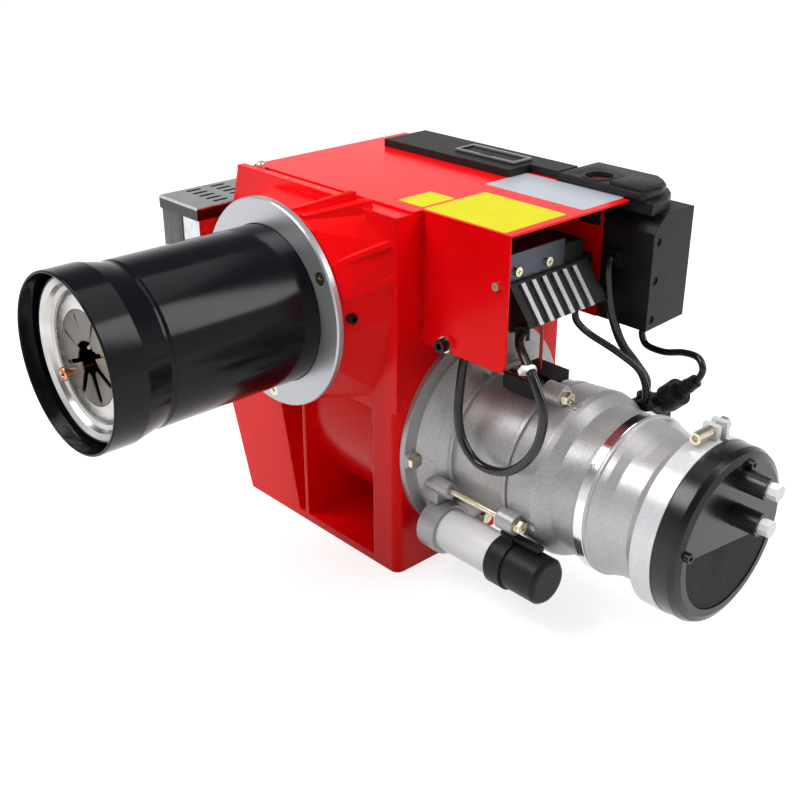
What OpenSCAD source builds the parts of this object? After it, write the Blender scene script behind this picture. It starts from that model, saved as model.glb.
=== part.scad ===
// Light oil burner: cast fan housing, blast tube with combustion head, motor with fan
// and oil pump on one shaft line, and a folded cover over the ignition and control units.
// Axes: -Y is the firing direction, +X runs from the fan to the pump, +Z is up.
// The origin is the centre of the mounting flange's front face. All sizes are in mm.

/* [Blast tube] */
// Outer radius of the blast tube
tube_radius = 60; // [50:0.5:70]
// Wall of the blast tube
tube_wall = 2; // [1.5:0.1:3]
// Length of the tube in front of the flange
tube_length = 167.6; // [120:0.1:260]
// How far the mouth stands out past the tube
mouth_flare = 3.6; // [1:0.1:12]
// Length of the widened mouth
mouth_length = 26; // [15:0.5:40]
// Length of the cone between mouth and tube
mouth_cone = 19; // [8:0.5:30]
// Height of the rim that the flange clamps
tube_rim = 4; // [2:0.1:6]

/* [Mounting flange] */
// Width of the flange ring outside the tube
flange_width = 19.5; // [16:0.1:30]
// Thickness of the mounting flange
flange_thickness = 5.3; // [4:0.1:10]
// Thickness of the flange gasket
gasket_thickness = 1.5; // [0.5:0.1:4]
// Distance of the flange screws from the flange rim
flange_screw_inset = 9; // [7:0.1:11]
// Shank radius of the flange screws
flange_screw_radius = 2.5; // [2:0.1:3]

/* [Combustion head] */
// Outer radius of the swirl disc
disc_radius = 33.5; // [28:0.1:36]
// Thickness of the swirl disc
disc_thickness = 1.2; // [0.8:0.1:2]
// Radius of the centre hole of the swirl disc
disc_hole = 13.5; // [11:0.1:16]
// Number of swirl vanes
vane_count = 8; // [6:1:10]
// Tilt of each swirl vane
vane_tilt = 22; // [10:1:35]
// Radius of the nozzle tube
nozzle_line_radius = 5; // [4:0.1:7]
// Adjusting travel of the combustion head
head_travel = 18; // [5:0.5:20]
// Radius of the ceramic insulators
insulator_radius = 6; // [4.5:0.1:7]
// Radius of the electrode rods
electrode_radius = 1.2; // [0.8:0.1:2]

/* [Cast housing] */
// Distance from the flange face to the housing's front plate
plate_front = 36; // [30:0.5:60]
// Distance from the flange face to the housing's rear wall
housing_rear = 214; // [212:0.5:240]
// X position of the right flank of the housing
flank_x = 101; // [98:0.5:110]
// Height of the housing's top above the firing axis
housing_top = 80; // [78:0.5:90]
// Depth of the foot below the firing axis
foot_drop = 207; // [200:0.5:220]
// Wall of the casting
cast_wall = 5; // [3.5:0.1:6]
// Radius of the fan scroll outside
scroll_radius = 82; // [80:0.1:84]
// Thickness of the foot plate
foot_plate = 7; // [5:0.1:9]

/* [Shaft line] */
// Distance of the motor shaft behind the flange face
shaft_back = 125; // [125:0.5:127]
// Drop of the motor shaft below the firing axis
shaft_drop = 105.7; // [105:0.1:107]
// Radius of the motor shaft in its bearings
shaft_radius = 7.5; // [6:0.1:9]
// Outer radius of the ball bearings
bearing_radius = 17.5; // [15:0.1:20]
// Width of the ball bearings
bearing_width = 9; // [7:0.1:11]

/* [Fan] */
// Outer radius of the fan wheel
fan_radius = 68; // [60:0.1:72]
// Width of the fan wheel
fan_width = 60; // [40:0.5:62]
// Number of fan blades
blade_count = 36; // [24:1:44]
// Thickness of a fan blade
blade_thickness = 1; // [0.6:0.1:1.4]

/* [Air intake] */
// Width of the air box, left of the housing
air_box_width = 52; // [50:0.5:70]
// Length of the air box
air_box_length = 120; // [110:0.5:140]
// Height of the air box
air_box_height = 110; // [105:0.5:130]
// Sheet of the air box and its lid
air_box_sheet = 1.2; // [0.8:0.1:2]
// Edge of the square air damper
damper_size = 66; // [50:0.5:70]
// Thickness of the air damper
damper_thickness = 1.5; // [1:0.1:2.5]
// Radius of the damper shaft
damper_shaft_radius = 3; // [2:0.1:4]
// Opening angle of the air damper
damper_angle = 80; // [45:1:85]

/* [Motor] */
// Radius of the motor flange
motor_flange_radius = 86.4; // [84:0.1:88]
// Radius of the motor body
motor_radius = 60; // [58:0.1:62]
// X position of the joint between front bell and stator
stator_start = 127; // [126:0.5:130]
// Length of the stator shell
stator_length = 57; // [56:0.5:70]
// Radius of the rotor
rotor_radius = 30; // [24:0.1:34]
// Air gap between rotor and stator
air_gap = 0.4; // [0.3:0.05:1]
// Radius of the circle of tie rods
tie_circle = 68.5; // [67:0.1:70]
// Radius of the tie rods
tie_radius = 2.5; // [2:0.1:3]

/* [Capacitor] */
// Radius of the capacitor can
can_radius = 16.5; // [14:0.1:18]
// Length of the capacitor can
can_length = 66; // [55:0.5:75]
// Radius of the black capacitor cap
cap_radius = 17.6; // [17.2:0.1:20]

/* [Pump] */
// Radius of the polished locating ring
locating_radius = 60; // [58:0.1:62]
// Width of the polished locating ring
locating_width = 8; // [6:0.1:12]
// Waist radius of the pump sleeve
sleeve_waist = 54.5; // [53:0.1:57]
// Outer radius of the clamp ring
clamp_radius = 63.5; // [63:0.1:66]
// Width of the clamp ring
clamp_width = 16; // [12:0.5:20]
// Radius of the pump cover
cover_radius = 62.7; // [61:0.1:64]
// Depth of the pump cover
cover_depth = 19; // [17:0.5:22]
// Distance from the rotor centre to each outer rotor lobe
lobe_circle = 14; // [13:0.1:14.5]
// Radius of each outer rotor lobe
lobe_radius = 3; // [2.5:0.1:3.2]
// Offset between the two pump rotors
rotor_offset = 1.2; // [0.9:0.1:1.3]
// Width of the pump rotors
rotor_width = 10; // [6:0.5:12]
// Radius of the oil ports
port_radius = 7.9; // [6:0.1:8]
// Length of the oil ports in front of the cover
port_length = 18; // [12:0.5:24]

/* [Covers] */
// X position of the open end of the folded cover
cover_end = 183; // [178:0.5:190]
// Distance of the folded front panel behind the flange face
cover_front = 59.5; // [58:0.5:60.5]
// Sheet of the folded cover
cover_sheet = 1.5; // [1:0.1:2]
// Length of the folded front panel, downwards
cover_drop = 98; // [80:0.5:100]
// Height of the black strip on the cover
strip_height = 6; // [4:0.1:8]

/* [Control units] */
// Width of the connector box
box_width = 45; // [40:0.5:50]
// Depth of the connector box
box_depth = 46; // [40:0.5:50]
// Height of the connector box
box_height = 86; // [70:0.5:90]
// Chamfer of the connector box
box_chamfer = 12; // [6:0.5:14]
// Radius of the reset button
reset_radius = 7; // [5:0.1:8]
// Travel of the reset button
reset_travel = 3; // [1.5:0.1:4]
// Number of bright fins on the ignition unit
fin_count = 6; // [4:1:7]

/* [Hidden] */
$fn = 96;
fit = 0.05;                 // radial clearance of running and screwed fits
red = [0.78, 0.02, 0.02];
black = [0.07, 0.07, 0.08];
steel = [0.75, 0.76, 0.78];
cast = [0.66, 0.66, 0.67];
zinc = [0.80, 0.74, 0.55];
grey = [0.55, 0.56, 0.58];
white = [0.93, 0.93, 0.92];
brass = [0.76, 0.58, 0.28];
copper = [0.78, 0.46, 0.30];

mouth_radius = tube_radius + mouth_flare;
flange_radius = tube_radius + flange_width;
flange_screw_circle = flange_radius - flange_screw_inset;
flame_ring_radius = tube_radius - tube_wall - 0.6;
neck_front = flange_thickness + gasket_thickness;
plate_back = plate_front + 7;
scroll_left = -12;
fan_room = 78;              // radius of the fan chamber
spigot_radius = 74;
shell_inner = motor_radius - 6;
rear_start = stator_start + stator_length;      // rear bell starts here
rear_end = rear_start + 61;
ring_end = rear_end + locating_width;           // end of the locating ring
sleeve_end = ring_end + 50;
clamp_start = sleeve_end - 8;
clamp_end = clamp_start + clamp_width;
cover_face = clamp_end + cover_depth;
cover_screw_circle = clamp_radius - 9.5;
felt_radius = cover_screw_circle - 2.9;
head_y = -150;              // front of the swirl disc
spider_back = 22;           // from the swirl disc back to its spider
ear_angles = [-90, 30, 150];
sight_x = -27.5;            // centre of the copper sight tube
sight_z = -19;
air_box_right = -110;
air_box_left = air_box_right - air_box_width;
air_box_front = 15;
air_box_top = 42;
damper_x = air_box_right - 16;
damper_y = air_box_front + air_box_length / 2;
damper_z = -20;
can_y = 62;
can_z = -162;
can_x = 133;
pump_x = sleeve_end - 17;   // left face of the pump body
rotor_x = pump_x + 10;
box_x = 159;
box_y = 188;
box_top = 72;
strip_z = housing_top + cover_sheet;

front_outline = [[-82, housing_top], [flank_x, housing_top], [flank_x, -foot_drop], [-88, -foot_drop],
    [-112, -130], [-106, 0]];

module on_shaft(x) translate([x, shaft_back, -shaft_drop]) rotate([0, 90, 0]) children();
module around(r, a) translate([-r * sin(a), r * cos(a), 0]) children();
module on_fire(y) translate([0, y, 0]) rotate([-90, 0, 0]) children();
module fire_polar(r, a) translate([r * cos(a), -r * sin(a), 0]) children();
module slab_y(y, t) translate([0, y + t, 0]) rotate([90, 0, 0]) linear_extrude(t) children();
module slab_x(x, t) translate([x, 0, 0]) rotate([90, 0, 90]) linear_extrude(t) children();
module box(x0, x1, y0, y1, z0, z1) translate([x0, y0, z0]) cube([x1 - x0, y1 - y0, z1 - z0]);
module turned(points) rotate_extrude() polygon(points);
module soft_square(w, h, r) {
    translate([r, 0]) square([w - 2 * r, h]);
    translate([0, r]) square([w, h - 2 * r]);
    for (x = [r, w - r], y = [r, h - r]) translate([x, y]) circle(r, $fn = 32);
}
module hex_head(r, h) cylinder(r = r, h = h, $fn = 6);
// screw along +z: head above z = 0, shank below
module socket_screw(r, len, head_r, head_h) difference() {
    union() {
        cylinder(r = head_r, h = head_h, $fn = 48);
        translate([0, 0, -len]) cylinder(r = r, h = len + 0.1, $fn = 32);
    }
    translate([0, 0, head_h * 0.4]) cylinder(r = head_r * 0.55, h = head_h, $fn = 6);
}
module cross_screw(r, len, head_r, head_h) difference() {
    union() {
        cylinder(r = head_r, h = head_h, $fn = 48);
        translate([0, 0, -len]) cylinder(r = r, h = len + 0.1, $fn = 32);
    }
    for (a = [0, 90]) rotate(a) translate([-head_r * 0.6, -head_r * 0.11, head_h * 0.45])
        cube([head_r * 1.2, head_r * 0.22, head_h]);
}

// Cast housing
module side_outline() {
    translate([plate_front, -shaft_drop]) square([housing_rear - plate_front, shaft_drop + housing_top]);
    translate([shaft_back, -shaft_drop]) circle(housing_rear - shaft_back, $fn = 128);
    translate([plate_front, -foot_drop]) square([110, foot_drop - shaft_drop]);
}
module side_room() {
    translate([plate_back, -shaft_drop]) square([housing_rear - cast_wall - plate_back,
        shaft_drop + housing_top - cast_wall]);
    translate([shaft_back, -shaft_drop]) circle(housing_rear - cast_wall - shaft_back, $fn = 128);
    translate([plate_back, foot_plate - foot_drop]) square([97, foot_drop - foot_plate - shaft_drop]);
}
module neck() {
    // faceted neck: flares from the flange to the flank
    hull() {
        slab_y(neck_front, 0.5) polygon([[-68, 30], [-50, 58], [-24, 74], [25, 74], [46, 65], [66, 44],
            [75, 24], [77, -4], [70, -34], [48, -60], [20, -75], [-24, -74], [-52, -56], [-70, -28]]);
        slab_y(plate_front + 8, 0.5) polygon([[-78, 40], [-60, 66], [-30, 79], [50, 79], [76, 76],
            [100, 58], [100, 10], [92, -20], [78, -62], [50, -70], [20, -76], [-28, -76], [-60, -66],
            [-80, -34]]);
    }
    // ribs along the neck
    hull() {
        slab_y(neck_front + 1, 0.5) polygon([[68, 27], [76, 23.5], [77, 20], [70, 16]]);
        slab_y(plate_front + 5, 0.5) polygon([[90, 41], [100, 40], [100.8, 35], [90, 28]]);
    }
    hull() {
        slab_y(neck_front + 1, 0.5) polygon([[58, 44], [65, 45.5], [67, 42], [60, 38]]);
        slab_y(plate_front + 3, 0.5) polygon([[84, 60], [96.5, 64.5], [98.5, 60.5], [86, 52]]);
    }
    hull() {
        slab_y(neck_front + 1, 0.5) polygon([[18, 68], [20, 75.4], [24, 76], [27, 66]]);
        slab_y(plate_front + 5, 0.5) polygon([[40, 70], [48, 88], [53, 88], [56, 70]]);
    }
    hull() {
        slab_y(neck_front + 1, 0.5) polygon([[27, 66], [31, 74], [35, 73], [37, 62]]);
        slab_y(plate_front + 5, 0.5) polygon([[56, 70], [62, 85], [70, 85], [72, 70]]);
    }
    box(60, 100, plate_front, plate_back + 12, -34, 60);
}
module housing() color(red) difference() {
    union() {
        difference() {
            intersection() {
                slab_y(plate_front, housing_rear - plate_front) polygon(front_outline);
                slab_x(-125, 240) side_outline();
            }
            // open room in front of and below the scroll
            box(-8, 74, plate_front - 1, 176, foot_plate - foot_drop, -72);
            // narrow front pocket left of the rib
            slab_y(plate_front - 1, 25) polygon([[-42, -96], [-12, -96], [-12, foot_plate - foot_drop],
                [-20, foot_plate - foot_drop]]);
        }
        on_shaft(scroll_left) cylinder(r = scroll_radius, h = 96);
        // rib below the scroll
        box(-12, -8, plate_front, 62, foot_plate - foot_drop - 1, -90);
        // stepped rims round the motor opening
        intersection() {
            union() {
                on_shaft(68) cylinder(r = 88.6, h = 11);
                on_shaft(78) cylinder(r = 88, h = 16);
                on_shaft(93) cylinder(r = 87.4, h = flank_x - 93);
            }
            box(60, flank_x, plate_front + 0.2, shaft_back + 5, 0.3 - foot_drop, 0);
        }
        neck();
        // upper lip in front of the cover
        box(-82, 40, plate_front, plate_back, housing_top - 1, housing_top + 3);
        // lug behind the cover bolt
        box(flank_x - 1, 131.4, cover_front + cover_sheet, cover_front + 11, -16.4, -5.6);
        // pad for the air box
        box(air_box_right, -98, 44, 128, damper_z - 42, damper_z + 42);
    }
    // bore for the blast tube
    on_fire(neck_front - 1) cylinder(r = tube_radius - 1, h = 60);
    on_fire(neck_front - 1) cylinder(r = tube_radius + tube_rim + 0.3, h = 1 + 1.5);
    for (a = [30, 150, 270]) on_fire(neck_front - 1) fire_polar(flange_screw_circle, a)
        cylinder(r = flange_screw_radius + fit, h = 20, $fn = 32);
    // plenum over the fan
    intersection() {
        box(-67, flank_x - cast_wall, plate_back, housing_rear - cast_wall, -66, housing_top - cast_wall);
        union() {
            box(-67, flank_x, plate_back, 96, -66, housing_top);
            box(-67, flank_x, 90, housing_rear, -18, housing_top);
        }
    }
    // fan chamber, throat, inlet and motor opening
    on_shaft(-8) cylinder(r = fan_room, h = 97);
    box(-8, 89, plate_back + 5, 110, -shaft_drop, -40);
    on_shaft(scroll_left - 1) cylinder(r = 50, h = 10);
    on_shaft(88) cylinder(r = spigot_radius, h = 30);
    // air chamber on the left
    difference() {
        intersection() {
            slab_y(plate_back, 180) polygon([[-75, 74], [-99, -10], [-105, -128],
                [-84, foot_plate - foot_drop + 2], [-16, foot_plate - foot_drop + 2], [-16, -72],
                [-73, -72], [-73, 74]]);
            slab_x(-125, 140) side_room();
        }
        box(-47, -8, plate_front, 66, -foot_drop, -60);
    }
    box(air_box_right - 1, -90, damper_y - 34, damper_y + 34, damper_z - 34, damper_z + 34);
    // holes for the motor bolts and the small fixings
    for (a = [0, 90, 180, 270]) on_shaft(84) around(80.5, a) cylinder(r = 3 + fit, h = 20, $fn = 32);
    translate([79.5, 11.6, 8]) rotate([0, 90, 0]) {
        translate([0, 0, -13]) cylinder(r = 2.5 + fit, h = 16, $fn = 32);
        cylinder(r = 3.8, h = 20, $fn = 48);
    }
    translate([126, cover_front - 1, -11]) rotate([-90, 0, 0]) cylinder(r = 2.5 + fit, h = 20, $fn = 32);
    for (y = [90, 170]) translate([flank_x - 6, y, 65]) rotate([0, 90, 0]) cylinder(r = 2.5 + fit, h = 8,
        $fn = 32);
    for (y = [-37, 37], z = [-37, 37]) translate([air_box_right - 1, damper_y + y, damper_z + z])
        rotate([0, 90, 0]) cylinder(r = 2 + fit, h = 9, $fn = 32);
    // edges
    translate([flank_x, plate_front, -foot_drop - 1]) difference() {
        translate([-7, -1, 0]) cube([8, 8, 140]);
        translate([-7, 7, -1]) cylinder(r = 7, h = 142, $fn = 64);
    }
}

// Flange and blast tube
module mounting_flange() color(grey) difference() {
    on_fire(0) turned([[tube_radius + 0.3, 0], [flange_radius - 1, 0], [flange_radius, 1],
        [flange_radius, flange_thickness], [tube_radius + 0.3, flange_thickness]]);
    for (a = [30, 150, 270]) on_fire(0) fire_polar(flange_screw_circle, a) {
        translate([0, 0, -1]) cylinder(r = flange_screw_radius + fit, h = 20, $fn = 32);
        cylinder(r1 = 2 * flange_screw_radius, r2 = flange_screw_radius, h = flange_screw_radius, $fn = 48);
    }
}
module flange_gasket() color(grey) difference() {
    on_fire(flange_thickness) difference() {
        cylinder(r = flange_radius - 3, h = gasket_thickness);
        translate([0, 0, -1]) cylinder(r = tube_radius + tube_rim + 0.5, h = gasket_thickness + 2);
    }
    for (a = [30, 150, 270]) on_fire(0) fire_polar(flange_screw_circle, a)
        cylinder(r = flange_screw_radius + 0.3, h = 20, $fn = 32);
}
module flange_screws() color(zinc) for (a = [30, 150, 270]) on_fire(0) fire_polar(flange_screw_circle, a)
    difference() {
    union() {
        cylinder(r1 = 2 * flange_screw_radius, r2 = flange_screw_radius, h = flange_screw_radius, $fn = 48);
        cylinder(r = flange_screw_radius, h = 19, $fn = 32);
    }
    for (b = [0, 90]) rotate(b) translate([-2.6, -0.5, -1]) cube([5.2, 1, 2.6]);
}
module blast_tube() color(black) {
    e = tube_length + flange_thickness;
    on_fire(-tube_length) turned([
        [mouth_radius - tube_wall + 0.6, 0], [mouth_radius - 0.8, 0], [mouth_radius, 0.8], [mouth_radius,
            mouth_length],
        [tube_radius - 0.7, mouth_length + mouth_cone], [tube_radius - 0.7,
            mouth_length + mouth_cone + 2], [tube_radius, mouth_length + mouth_cone + 4],
        [tube_radius, e], [tube_radius + tube_rim, e], [tube_radius + tube_rim, e + 3],
        [tube_radius - tube_wall, e + 3], [tube_radius - tube_wall, mouth_length + mouth_cone + 4.5],
            [tube_radius - tube_wall - 0.4, mouth_length + mouth_cone],
        [mouth_radius - tube_wall, mouth_length], [mouth_radius - tube_wall, 0.6]]);
}

// Combustion head
module sight_room() translate([sight_x, -sight_z, -20]) cylinder(r = 3 + fit, h = 60, $fn = 48);
module flame_ring() color(steel) on_fire(head_y - 5) difference() {
    turned([[flame_ring_radius, 0], [flame_ring_radius, 6], [flame_ring_radius - 1, 6],
        [flame_ring_radius - 1.2, 2.4], [53, 3.4], [51, 6.4], [47, 7.4], [43, 6.4], [41, 6.2],
        [disc_radius + 1, 6.2], [disc_radius + 1, 5 + disc_thickness], [disc_radius - 3,
            5 + disc_thickness + 1.2], [disc_radius - 3, 5 + disc_thickness], [disc_radius,
            5 + disc_thickness],
        [disc_radius + 0.3, 5], [41, 5], [43, 5.2], [47, 6.2], [50.2, 5.2], [52.2, 2.2], [56, 0]]);
    sight_room();
}
module swirl_disc() color(steel) on_fire(head_y) {
    slot_in = disc_hole + 3.5;
    slot_out = disc_radius - 4;
    difference() {
        cylinder(r = disc_radius, h = disc_thickness);
        translate([0, 0, -1]) cylinder(r = disc_hole, h = disc_thickness + 2);
        for (i = [0 : vane_count - 1]) rotate(i * 360 / vane_count) translate([slot_in, -2.2, -1])
            cube([slot_out - slot_in, 2.2, disc_thickness + 2]);
        sight_room();
    }
    // tilted vanes beside the slots
    difference() {
    for (i = [0 : vane_count - 1]) rotate(i * 360 / vane_count) intersection() {
        translate([slot_in + 0.5, -2.4, disc_thickness / 2]) rotate([-vane_tilt, 0, 0])
            translate([0, -8, -1]) cube([slot_out - slot_in - 1, 8.6, 1]);
        translate([0, 0, -6]) cylinder(r = slot_out - 0.3, h = 12);
        translate([slot_in, -14, -6]) cube([20, 14, 6 + disc_thickness - 0.1]);
    }
    sight_room();
    }
    // fixing ears
    for (a = ear_angles) rotate(a) translate([disc_hole + 0.5, -2.5, disc_thickness - 0.1])
        cube([2, 5, spider_back - disc_thickness + 0.1]);
}
module head_spider() color(steel) on_fire(head_y + spider_back) difference() {
    union() {
        cylinder(r = 9, h = 8, $fn = 64);
        for (a = ear_angles) rotate(a) translate([6, -2.5, 0]) cube([disc_hole - 3.5, 5, 1.5]);
    }
    translate([0, 0, -1]) cylinder(r = nozzle_line_radius + fit, h = 12, $fn = 64);
}
module nozzle() color(brass) on_fire(head_y + 10.4) difference() {
    union() {
        cylinder(r1 = 3, r2 = 6.6, h = 4.5, $fn = 64);
        translate([0, 0, 4.5]) cylinder(r = 7.6, h = 5.9, $fn = 6);
        translate([0, 0, 10.3]) cylinder(r = 3.4, h = 6, $fn = 48);
    }
    translate([0, 0, -1]) cylinder(r = 0.6, h = 4, $fn = 24);
    translate([0, 0, 2.5]) cylinder(r = 1.8, h = 15, $fn = 32);
}
module nozzle_line() color(brass) on_fire(head_y + 20.9) difference() {
    // tube with the screwed nozzle holder at the front and the oil elbow at the rear
    union() {
        cylinder(r = nozzle_line_radius, h = 225, $fn = 64);
        translate([0, 0, 12]) cylinder(r = 7.5, h = 16, $fn = 6);
        translate([0, 0, 206]) cylinder(r = 8, h = 14, $fn = 6);
    }
    translate([0, 0, -1]) cylinder(r = 3.4 + fit, h = 8, $fn = 48);
    cylinder(r = 2, h = 230, $fn = 32);
}
module insulators() color(white) for (s = [-1, 1]) difference() {
    union() {
        on_fire(head_y + 24) translate([s * 15, -6, 0]) cylinder(r = insulator_radius, h = 62, $fn = 64);
        on_fire(head_y + 86) translate([s * 15, -6, 0]) cylinder(r = insulator_radius - 1.5, h = 24,
            $fn = 64);
    }
    on_fire(head_y + 20) translate([s * 15, -6, 0]) cylinder(r = electrode_radius + fit, h = 100, $fn = 32);
}
module electrodes() color(steel) for (s = [-1, 1]) {
    on_fire(head_y + 20) translate([s * 15, -6, 0]) cylinder(r = electrode_radius, h = 100, $fn = 32);
    // bent tips in front of the nozzle
    translate([s * 15, head_y + 20, 6]) sphere(electrode_radius, $fn = 24);
    translate([s * 15, head_y + 20, 6]) rotate([0, 0, -s * 36.1]) rotate([90, 0, 0])
        cylinder(r = electrode_radius, h = 21, $fn = 32);
}
module electrode_clamp() color(steel) {
    y = head_y + 60;
    slab_y(y, 10) difference() {
        union() {
            circle(nozzle_line_radius + 3, $fn = 64);
            for (s = [-1, 1]) translate([s * 15, 6]) circle(insulator_radius + 2.2, $fn = 64);
            translate([-15, 0.5]) square([30, 11]);
            // arm for the sight tube
            translate([sight_x, sight_z]) circle(5, $fn = 48);
            translate([sight_x - 2.5, sight_z]) square([5, 26]);
            translate([sight_x - 2.5, 1]) square([12, 8]);
        }
        translate([sight_x, sight_z]) circle(3 + fit, $fn = 48);
        circle(nozzle_line_radius + fit, $fn = 64);
        for (s = [-1, 1]) translate([s * 15, 6]) circle(insulator_radius + fit, $fn = 64);
    }
}
module sight_tube() color(copper) difference() {
    // copper air tube that ends in an eyelet on the flame ring
    union() {
        on_fire(head_y - 3) translate([sight_x, -sight_z, 0]) cylinder(r = 3, h = 75, $fn = 48);
        translate([sight_x, head_y - 5.2, sight_z]) rotate([90, 0, 0]) rotate_extrude($fn = 48)
            translate([3.6, 0]) circle(1.5, $fn = 24);
    }
    on_fire(head_y - 10) translate([sight_x, -sight_z, 0]) cylinder(r = 2.2, h = 90, $fn = 48);
}
module line_guide() color(grey) difference() {
    // bridge across the plenum that carries the nozzle line
    union() {
        on_fire(52) cylinder(r = 11, h = 24, $fn = 64);
        box(-67, -10, 58, 70, -6, 6);
        box(10, flank_x - cast_wall, 58, 70, -6, 6);
    }
    on_fire(50) cylinder(r = nozzle_line_radius + fit, h = 30, $fn = 64);
}

// Fan and motor
module blade() intersection() {
    difference() {
        circle(fan_radius - 0.6);
        circle(fan_radius - 12);
    }
    difference() {
        translate([fan_radius - 10, 11]) circle(11.2 + blade_thickness / 2, $fn = 64);
        translate([fan_radius - 10, 11]) circle(11.2 - blade_thickness / 2, $fn = 64);
    }
    translate([fan_radius - 16, -4]) square([18, 12]);
}
module fan_body() color(grey) on_shaft(0) difference() {
    union() {
        difference() {
            cylinder(r = fan_radius, h = 2);
            translate([0, 0, -1]) cylinder(r = fan_radius - 13, h = 4);
        }
        for (i = [0 : blade_count - 1]) rotate(i * 360 / blade_count) translate([0, 0, 1])
            linear_extrude(fan_width - 2) blade();
        translate([0, 0, fan_width - 2]) cylinder(r = fan_radius, h = 2);
        translate([0, 0, fan_width - 14]) cylinder(r = 13, h = 20, $fn = 64);
    }
    translate([0, 0, fan_width - 20]) cylinder(r = 6.35 + fit, h = 40, $fn = 64);
    translate([0, 0, fan_width + 2]) rotate([0, 90, 0]) cylinder(r = 2.5 + fit, h = 20, $fn = 32);
}
module fan_set_screw() color(black) on_shaft(fan_width + 2) rotate([0, 90, 0]) translate([0, 0, 6.4])
    difference() {
    cylinder(r = 2.5, h = 7, $fn = 32);
    translate([0, 0, 4]) cylinder(r = 1.4, h = 5, $fn = 6);
}
module motor_shaft() color(steel) {
    on_shaft(fan_width - 18) cylinder(r = 6.35, h = 107 - (fan_width - 18), $fn = 64);
    on_shaft(106) cylinder(r = shaft_radius, h = rear_start + 30 - 106, $fn = 64);
    on_shaft(rear_start + 29) cylinder(r = 6, h = rear_end + 12 - rear_start - 29, $fn = 64);
}
module rotor() color(steel) on_shaft(stator_start + 7) difference() {
    union() {
        cylinder(r = rotor_radius, h = stator_length - 14);
        difference() {
            translate([0, 0, -6]) cylinder(r = rotor_radius - 2, h = stator_length - 2);
            translate([0, 0, -7]) cylinder(r = rotor_radius - 9, h = 7);
            translate([0, 0, stator_length - 14]) cylinder(r = rotor_radius - 9, h = 10);
        }
    }
    translate([0, 0, -10]) cylinder(r = shaft_radius + fit, h = 100, $fn = 64);
}
module stator_core() color(steel) on_shaft(stator_start + 8) difference() {
    cylinder(r = shell_inner - fit, h = stator_length - 16);
    translate([0, 0, -1]) cylinder(r = rotor_radius + air_gap, h = 100);
    for (i = [0 : 23]) rotate(i * 15) translate([rotor_radius + 3, -2, -1]) cube([10, 4, 100]);
}
module windings() color(copper) on_shaft(stator_start + 8) {
    for (z = [-9, stator_length - 16]) translate([0, 0, z]) turned([[rotor_radius + 4, 0],
        [rotor_radius + 7, -0], [rotor_radius + 16, 0], [rotor_radius + 19, 3], [rotor_radius + 17, 9],
        [rotor_radius + 3, 9], [rotor_radius + 2, 3]]);
    for (i = [0 : 23]) rotate(i * 15) translate([rotor_radius + 3.3, -1.8, -0.5])
        cube([9.4, 3.6, stator_length - 15]);
}
module stator_shell() color(cast) on_shaft(stator_start) difference() {
    union() {
        cylinder(r = motor_radius - 1, h = stator_length);
        cylinder(r = motor_radius + 2, h = 3.6);
        translate([0, 0, stator_length - 4]) cylinder(r = motor_radius + 1.6, h = 4);
    }
    translate([0, 0, -1]) cylinder(r = shell_inner, h = stator_length + 2);
}
tie_angles = [18, 108, 198, 288];
module front_bell() color(cast) difference() {
    union() {
        on_shaft(0) turned([[10, 95], [spigot_radius - fit, 95], [spigot_radius - fit, flank_x],
            [motor_flange_radius, flank_x], [motor_flange_radius, 106], [77.5, 106], [77.5, 109],
            [74, 112], [65, 120], [motor_radius + 0.5, stator_start], [shell_inner, stator_start],
                [shell_inner, 119], [46, 112], [25, 112], [25, 106 + bearing_width],
                [bearing_radius + fit, 106 + bearing_width], [bearing_radius + fit, 106], [10, 106]]);
        for (a = tie_angles) on_shaft(105) around(tie_circle, a) cylinder(r = 6.2, h = 30, $fn = 64);
        // pads under the motor bolts
        for (a = [0, 90, 180, 270]) on_shaft(105) rotate(a) translate([-5, 75, 0]) cube([10, 11, 4]);
        // arm for the capacitor
        box(110, 124, 56, 86, can_z + can_radius + 3.5, -128);
    }
    for (a = tie_angles) on_shaft(100) around(tie_circle, a) cylinder(r = tie_radius + fit, h = 40,
        $fn = 48);
    for (a = tie_angles) on_shaft(100.9) around(tie_circle, a) cylinder(r = 5.2, h = 5, $fn = 48);
    for (a = [0, 90, 180, 270]) on_shaft(90) around(80.5, a) {
        cylinder(r = 3 + 0.2, h = 40, $fn = 32);
        translate([0, 0, 19]) cylinder(r = 6.3, h = 20, $fn = 48);
    }
    on_shaft(108) cylinder(r = 24.9, h = 6.9);
}
module motor_bolts() color(zinc) for (a = [0, 90, 180, 270]) on_shaft(109) around(80.5, a) {
    hex_head(5.6, 4.5);
    translate([0, 0, -23]) cylinder(r = 3, h = 23.1, $fn = 32);
}
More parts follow.
